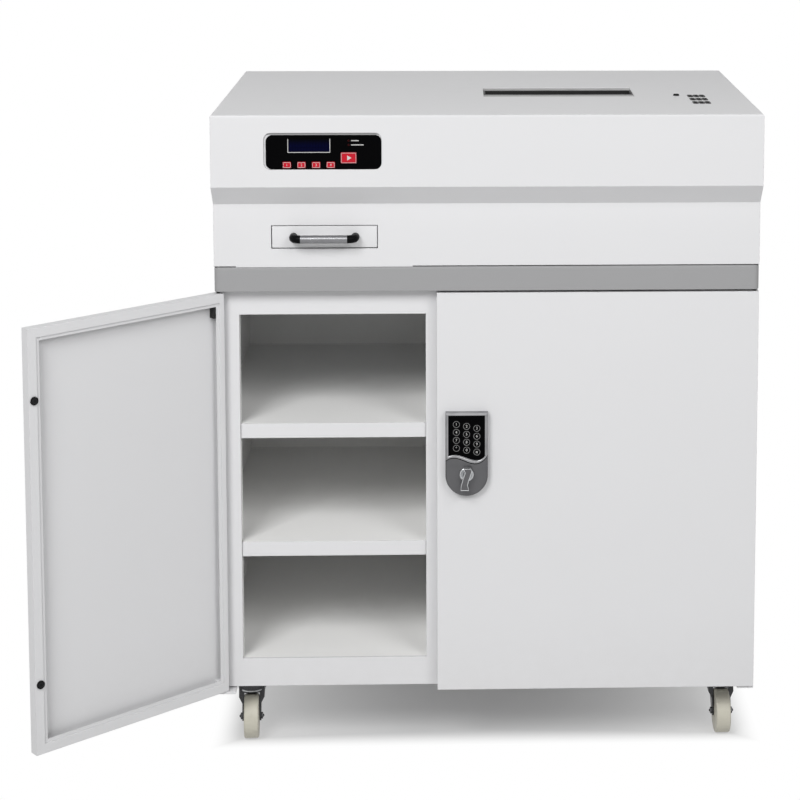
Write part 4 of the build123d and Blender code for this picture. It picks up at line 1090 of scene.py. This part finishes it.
class SHREDDER_OT_vent_plugs(bpy.types.Operator):
    """Black plug with a flange and a sleeve in each vent slot on the top"""

    bl_idname = "shredder.vent_plugs"
    bl_label = "Vent plugs"

    def execute(self, context):
        sizes = context.scene.shredder_sizes
        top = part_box("head_cover")[1].z
        width, length = sizes.plug_size
        sleeve = sizes.plug_bore + 2 * sizes.plug_wall
        maker = bmesh.new()
        for i in range(9):
            row, column = divmod(i, 3)
            x = sizes.vent_centre[0] + (column - 1) * sizes.vent_pitch[0]
            y = sizes.vent_centre[1] + (row - 1) * sizes.vent_pitch[1]
            for outer, height in ((width, sizes.plug_height), (sleeve, -sizes.plug_sleeve)):
                made = bmesh.ops.create_circle(
                    maker, cap_ends=True, segments=24, radius=outer / 2,
                    matrix=Matrix.Translation((x, y, top)) @ Matrix.Rotation(math.pi / 24, 4, "Z"),
                )
                for vert in made["verts"]:
                    vert.co.y += math.copysign((length - width) / 2, vert.co.y - y)
                face = made["verts"][0].link_faces[0]
                face.normal_update()
                rim = cut_rim(maker, face, (outer - sizes.plug_bore) / 2)
                raise_faces(maker, rim, (0.0, 0.0, height))
        settle(maker, "vent_plugs", "cabinet", "black_plastic")
        return {"FINISHED"}


class SHREDDER_OT_door_trim(bpy.types.Operator):
    """Second fold inside the open door's lip, and a screw in each of its bumpers"""

    bl_idname = "shredder.door_trim"
    bl_label = "Door trim"

    def execute(self, context):
        sizes = context.scene.shredder_sizes
        hinge = joint_place("left_door_hinge")
        low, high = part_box("left_door_panel")
        near, far, edge = sizes.door_well
        maker = bmesh.new()
        face = add_plate(maker, (near, low.z + edge), (far, high.z - edge), sizes.fold_depth)
        rim = cut_rim(maker, face, sizes.fold_width)
        raise_faces(maker, rim, (0.0, sizes.sheet, 0.0))
        turn = Matrix.Rotation(-sizes.door_angle, 3, "Z")
        bmesh.ops.rotate(maker, verts=list(maker.verts), cent=(0.0, 0.0, 0.0), matrix=turn)
        bmesh.ops.translate(maker, verts=list(maker.verts), vec=(hinge.x, hinge.y, 0.0))
        settle(maker, "left_door_fold", "left_door", "cabinet_coat")
        screws = bmesh.new()
        inward = turn @ Vector(BACK)
        bumper_low, bumper_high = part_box("left_door_bumpers")
        for z in (bumper_low.z, bumper_high.z):
            middle = (bumper_low + bumper_high) / 2
            middle.z = z + math.copysign(sizes.bumper_radius, middle.z - z)
            height = sizes.screw_height * 0.6
            place = middle + inward * (sizes.bumper_height / 2 + sizes.bumper_proud - height)
            add_screw(screws, place, inward, sizes.screw_radius * 0.8, height)
        settle(screws, "left_door_bumper_screws", "left_door", "fork_steel")
        return {"FINISHED"}


class SHREDDER_OT_cover_screws(bpy.types.Operator):
    """Pan head screws that hold the back panel, the head cover and the inlet"""

    bl_idname = "shredder.cover_screws"
    bl_label = "Cover screws"

    columns = 5
    rows = 4

    def execute(self, context):
        sizes = context.scene.shredder_sizes
        radius, height = sizes.screw_radius, sizes.screw_height
        maker = bmesh.new()
        low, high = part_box("back_panel")
        inset = sizes.screw_inset
        for i in range(self.columns):
            x = low.x + inset + i * (high.x - low.x - 2 * inset) / (self.columns - 1)
            for z in (low.z + inset, high.z - inset):
                add_screw(maker, (x, high.y, z), BACK, radius, height)
        for i in range(1, self.rows):
            z = low.z + inset + i * (high.z - low.z - 2 * inset) / self.rows
            for x in (low.x + inset, high.x - inset):
                add_screw(maker, (x, high.y, z), BACK, radius, height)
        low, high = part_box("head_cover")
        end, rise, side_rise = sizes.cover_inset
        for i in range(self.columns):
            x = low.x + end + i * (high.x - low.x - 2 * end) / (self.columns - 1)
            add_screw(maker, (x, high.y, low.z + rise), BACK, radius, height)
        for side, x in ((-1.0, low.x), (1.0, high.x)):
            for y in (-sizes.cover_pitch, 0.0, sizes.cover_pitch):
                add_screw(maker, (x, y, low.z + side_rise), (side, 0.0, 0.0), radius, height)
        low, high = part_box("power_inlet")
        for x in (low.x + sizes.inlet_inset, high.x - sizes.inlet_inset):
            place = (x, high.y, (low.z + high.z) / 2)
            add_screw(maker, place, BACK, radius * 0.7, height)
        settle(maker, "cover_screws", "cabinet", "zinc_plate")
        return {"FINISHED"}


class SHREDDER_OT_castor_trim(bpy.types.Operator):
    """Nuts on the castor axles and plates, and the rolled lip round each castor's crown"""

    bl_idname = "shredder.castor_trim"
    bl_label = "Castor trim"

    def execute(self, context):
        sizes = context.scene.shredder_sizes
        joints = {joint["name"]: joint for joint in frame["joints"]}
        offsets = (-sizes.bolt_offset, sizes.bolt_offset)
        plate_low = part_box("castor_plates")[1].z - sizes.plate_thickness
        plates = bmesh.new()
        for corner in CASTORS:
            roll = joints[corner + "_roll"]
            axle = Vector(roll["axis"])
            centre = Vector(roll["pos_m"])
            maker = bmesh.new()
            for side in (-1.0, 1.0):
                face = centre + axle * side * sizes.leg_reach
                add_nut(maker, face, axle * side, sizes.nut_radius, sizes.nut_height)
            settle(maker, corner + "_axle_nuts", corner + "_castor", "fork_steel")
            middle = joint_place(corner + "_swivel")
            lip = bmesh.new()
            height = Vector((middle.x, middle.y, sizes.lip_height))
            start = facing(height + Vector((sizes.lip_radius, 0.0, 0.0)), BACK)
            bead = bmesh.ops.create_circle(lip, segments=10, radius=sizes.lip_bead, matrix=start)
            edges = list({edge for vert in bead["verts"] for edge in vert.link_edges})
            bmesh.ops.spin(
                lip, geom=bead["verts"] + edges, cent=height, axis=(0.0, 0.0, 1.0), angle=math.tau,
                steps=48, use_merge=True,
            )
            settle(lip, corner + "_castor_lip", corner + "_castor", "zinc_plate")
            for dx in offsets:
                for dy in offsets:
                    place = (middle.x + dx, middle.y + dy, plate_low)
                    add_nut(plates, place, (0.0, 0.0, -1.0), sizes.nut_radius, sizes.nut_height)
        settle(plates, "castor_plate_nuts", "cabinet", "zinc_plate")
        return {"FINISHED"}


class SHREDDER_OT_stage(bpy.types.Operator):
    """Pale floor, soft studio lamps, white surround and the camera"""

    bl_idname = "shredder.stage"
    bl_label = "Stage"

    def execute(self, context):
        scene = context.scene
        self.add_floor(scene)
        for name, (place, power) in LAMPS.items():
            self.add_lamp(scene, name, place, power)
        self.add_world(scene)
        self.add_camera(scene)
        scene.view_settings.view_transform = "Standard"
        return {"FINISHED"}

    def add_floor(self, scene):
        """Wide pale floor that shows the cabinet's shadow, deepened by painted shade under the
        cabinet, and fades into the white surround.
        """
        maker = bmesh.new()
        bmesh.ops.create_grid(maker, x_segments=1, y_segments=1, size=FLOOR_SIZE)
        mesh = bpy.data.meshes.new("studio_floor")
        maker.to_mesh(mesh)
        maker.free()
        floor = bpy.data.objects.new("studio_floor", mesh)
        scene.collection.objects.link(floor)
        ground = Finish("studio_floor")
        paint = ground.node("ShaderNodeBsdfDiffuse", None, {"Color": FLOOR_PAINT})
        shade = ground.node("ShaderNodeBsdfDiffuse", None, {"Color": FLOOR_PAINTED_SHADE})
        glow = ground.node("ShaderNodeEmission", None, {"Strength": FLOOR_PAINTED_GLOW})
        white = ground.node("ShaderNodeEmission", None, {"Strength": 1.0})
        # Painted shade and glow: darker paint that glows a little where the cabinet's shadow falls.
        near = ground.node("ShaderNodeAddShader", None, {0: shade, 1: glow})
        fade = SHADOW_FADE * ground.axis("X") * ground.axis("X")
        smooth = {"interpolation_type": "SMOOTHSTEP"}
        for letter, start, end in SHADOW_EDGES:
            sockets = {"Value": ground.reach(letter), "From Min": start, "From Max": end}
            fade = fade.math("MAXIMUM", fade, ground.node("ShaderNodeMapRange", smooth, sockets))
        shown = ground.node("ShaderNodeMixShader", None, {0: fade, 1: near, 2: white})
        share = ground.node("ShaderNodeMixShader", None, {0: ground.seen(), 1: paint, 2: shown})
        ground.tree.links.new(share.socket, ground.tree.nodes["Material Output"].inputs["Surface"])
        ground.tree.nodes.remove(ground.surface)
        mesh.materials.append(ground.material)

    def add_lamp(self, scene, name, place, power):
        """Square soft box aimed at the cabinet."""
        lamp = bpy.data.lights.new(name, "AREA")
        lamp.size = LAMP_SIZE
        lamp.energy = power
        holder = bpy.data.objects.new(name, lamp)
        aim = Vector(LAMP_TARGET) - Vector(place)
        turn = aim.to_track_quat("-Z", "Y").to_matrix().to_4x4()
        holder.matrix_world = Matrix.Translation(Vector(place)) @ turn
        scene.collection.objects.link(holder)

    def add_world(self, scene):
        """Even surround, white where it is seen."""
        world = bpy.data.worlds.new("studio")
        world.use_nodes = True
        world.node_tree.nodes.clear()
        sky = NodeMaker(world.node_tree)
        plain = (1.0, 1.0, 1.0, 1.0)
        light = sky.node("ShaderNodeBackground", None, {"Color": plain, "Strength": SURROUND_LIGHT})
        white = sky.node("ShaderNodeBackground", None, {"Color": plain, "Strength": 1.0})
        share = sky.node("ShaderNodeMixShader", None, {0: sky.seen(), 1: light, 2: white})
        out = world.node_tree.nodes.new("ShaderNodeOutputWorld")
        world.node_tree.links.new(share.socket, out.inputs["Surface"])
        scene.world = world

    def add_camera(self, scene):
        """Camera at the picture's viewpoint, with the shift that its framing needs."""
        eye = bpy.data.cameras.new("camera")
        eye.sensor_width = 36.0
        eye.lens = CAMERA_LENS
        eye.shift_x, eye.shift_y = CAMERA_SHIFT
        eye.clip_end = 60.0
        holder = bpy.data.objects.new("camera", eye)
        turn = (
            Matrix.Rotation(CAMERA_YAW, 4, "Z")
            @ Matrix.Rotation(math.pi / 2 + CAMERA_PITCH, 4, "X")
            @ Matrix.Rotation(CAMERA_ROLL, 4, "Z")
        )
        holder.matrix_world = Matrix.Translation(CAMERA_PLACE) @ turn
        scene.collection.objects.link(holder)
        scene.camera = holder


class SHREDDER_PT_tools(bpy.types.Panel):
    """Sidebar panel with the shredder's operators and settings"""

    bl_idname = "SHREDDER_PT_tools"
    bl_label = "Cabinet Shredder"
    bl_space_type = "VIEW_3D"
    bl_region_type = "UI"
    bl_category = "Shredder"

    def draw(self, context):
        layout = self.layout
        for operator in OPERATORS:
            layout.operator(operator.bl_idname)
        for group in (context.scene.shredder_sizes, context.scene.shredder_colours):
            box = layout.box()
            for key in group.__annotations__:
                box.prop(group, key)


OPERATORS = (
    SHREDDER_OT_finishes,
    SHREDDER_OT_thumb_turn,
    SHREDDER_OT_lock_wave,
    SHREDDER_OT_keypad_marks,
    SHREDDER_OT_key_borders,
    SHREDDER_OT_panel_lines,
    SHREDDER_OT_drawer_face,
    SHREDDER_OT_vent_plugs,
    SHREDDER_OT_door_trim,
    SHREDDER_OT_cover_screws,
    SHREDDER_OT_castor_trim,
    SHREDDER_OT_stage,
)
CLASSES = (ShredderSizes, ShredderColours) + OPERATORS + (SHREDDER_PT_tools,)


def register():
    for cls in CLASSES:
        bpy.utils.register_class(cls)
    bpy.types.Scene.shredder_sizes = bpy.props.PointerProperty(type=ShredderSizes)
    bpy.types.Scene.shredder_colours = bpy.props.PointerProperty(type=ShredderColours)


def unregister():
    del bpy.types.Scene.shredder_colours
    del bpy.types.Scene.shredder_sizes
    for cls in reversed(CLASSES):
        bpy.utils.unregister_class(cls)


def main():
    register()
    bpy.ops.shredder.finishes()
    bpy.ops.shredder.thumb_turn()
    bpy.ops.shredder.lock_wave()
    bpy.ops.shredder.keypad_marks()
    bpy.ops.shredder.key_borders()
    bpy.ops.shredder.panel_lines()
    bpy.ops.shredder.drawer_face()
    bpy.ops.shredder.vent_plugs()
    bpy.ops.shredder.door_trim()
    bpy.ops.shredder.cover_screws()
    bpy.ops.shredder.castor_trim()
    bpy.ops.shredder.stage()


if __name__ == "__main__":
    main()
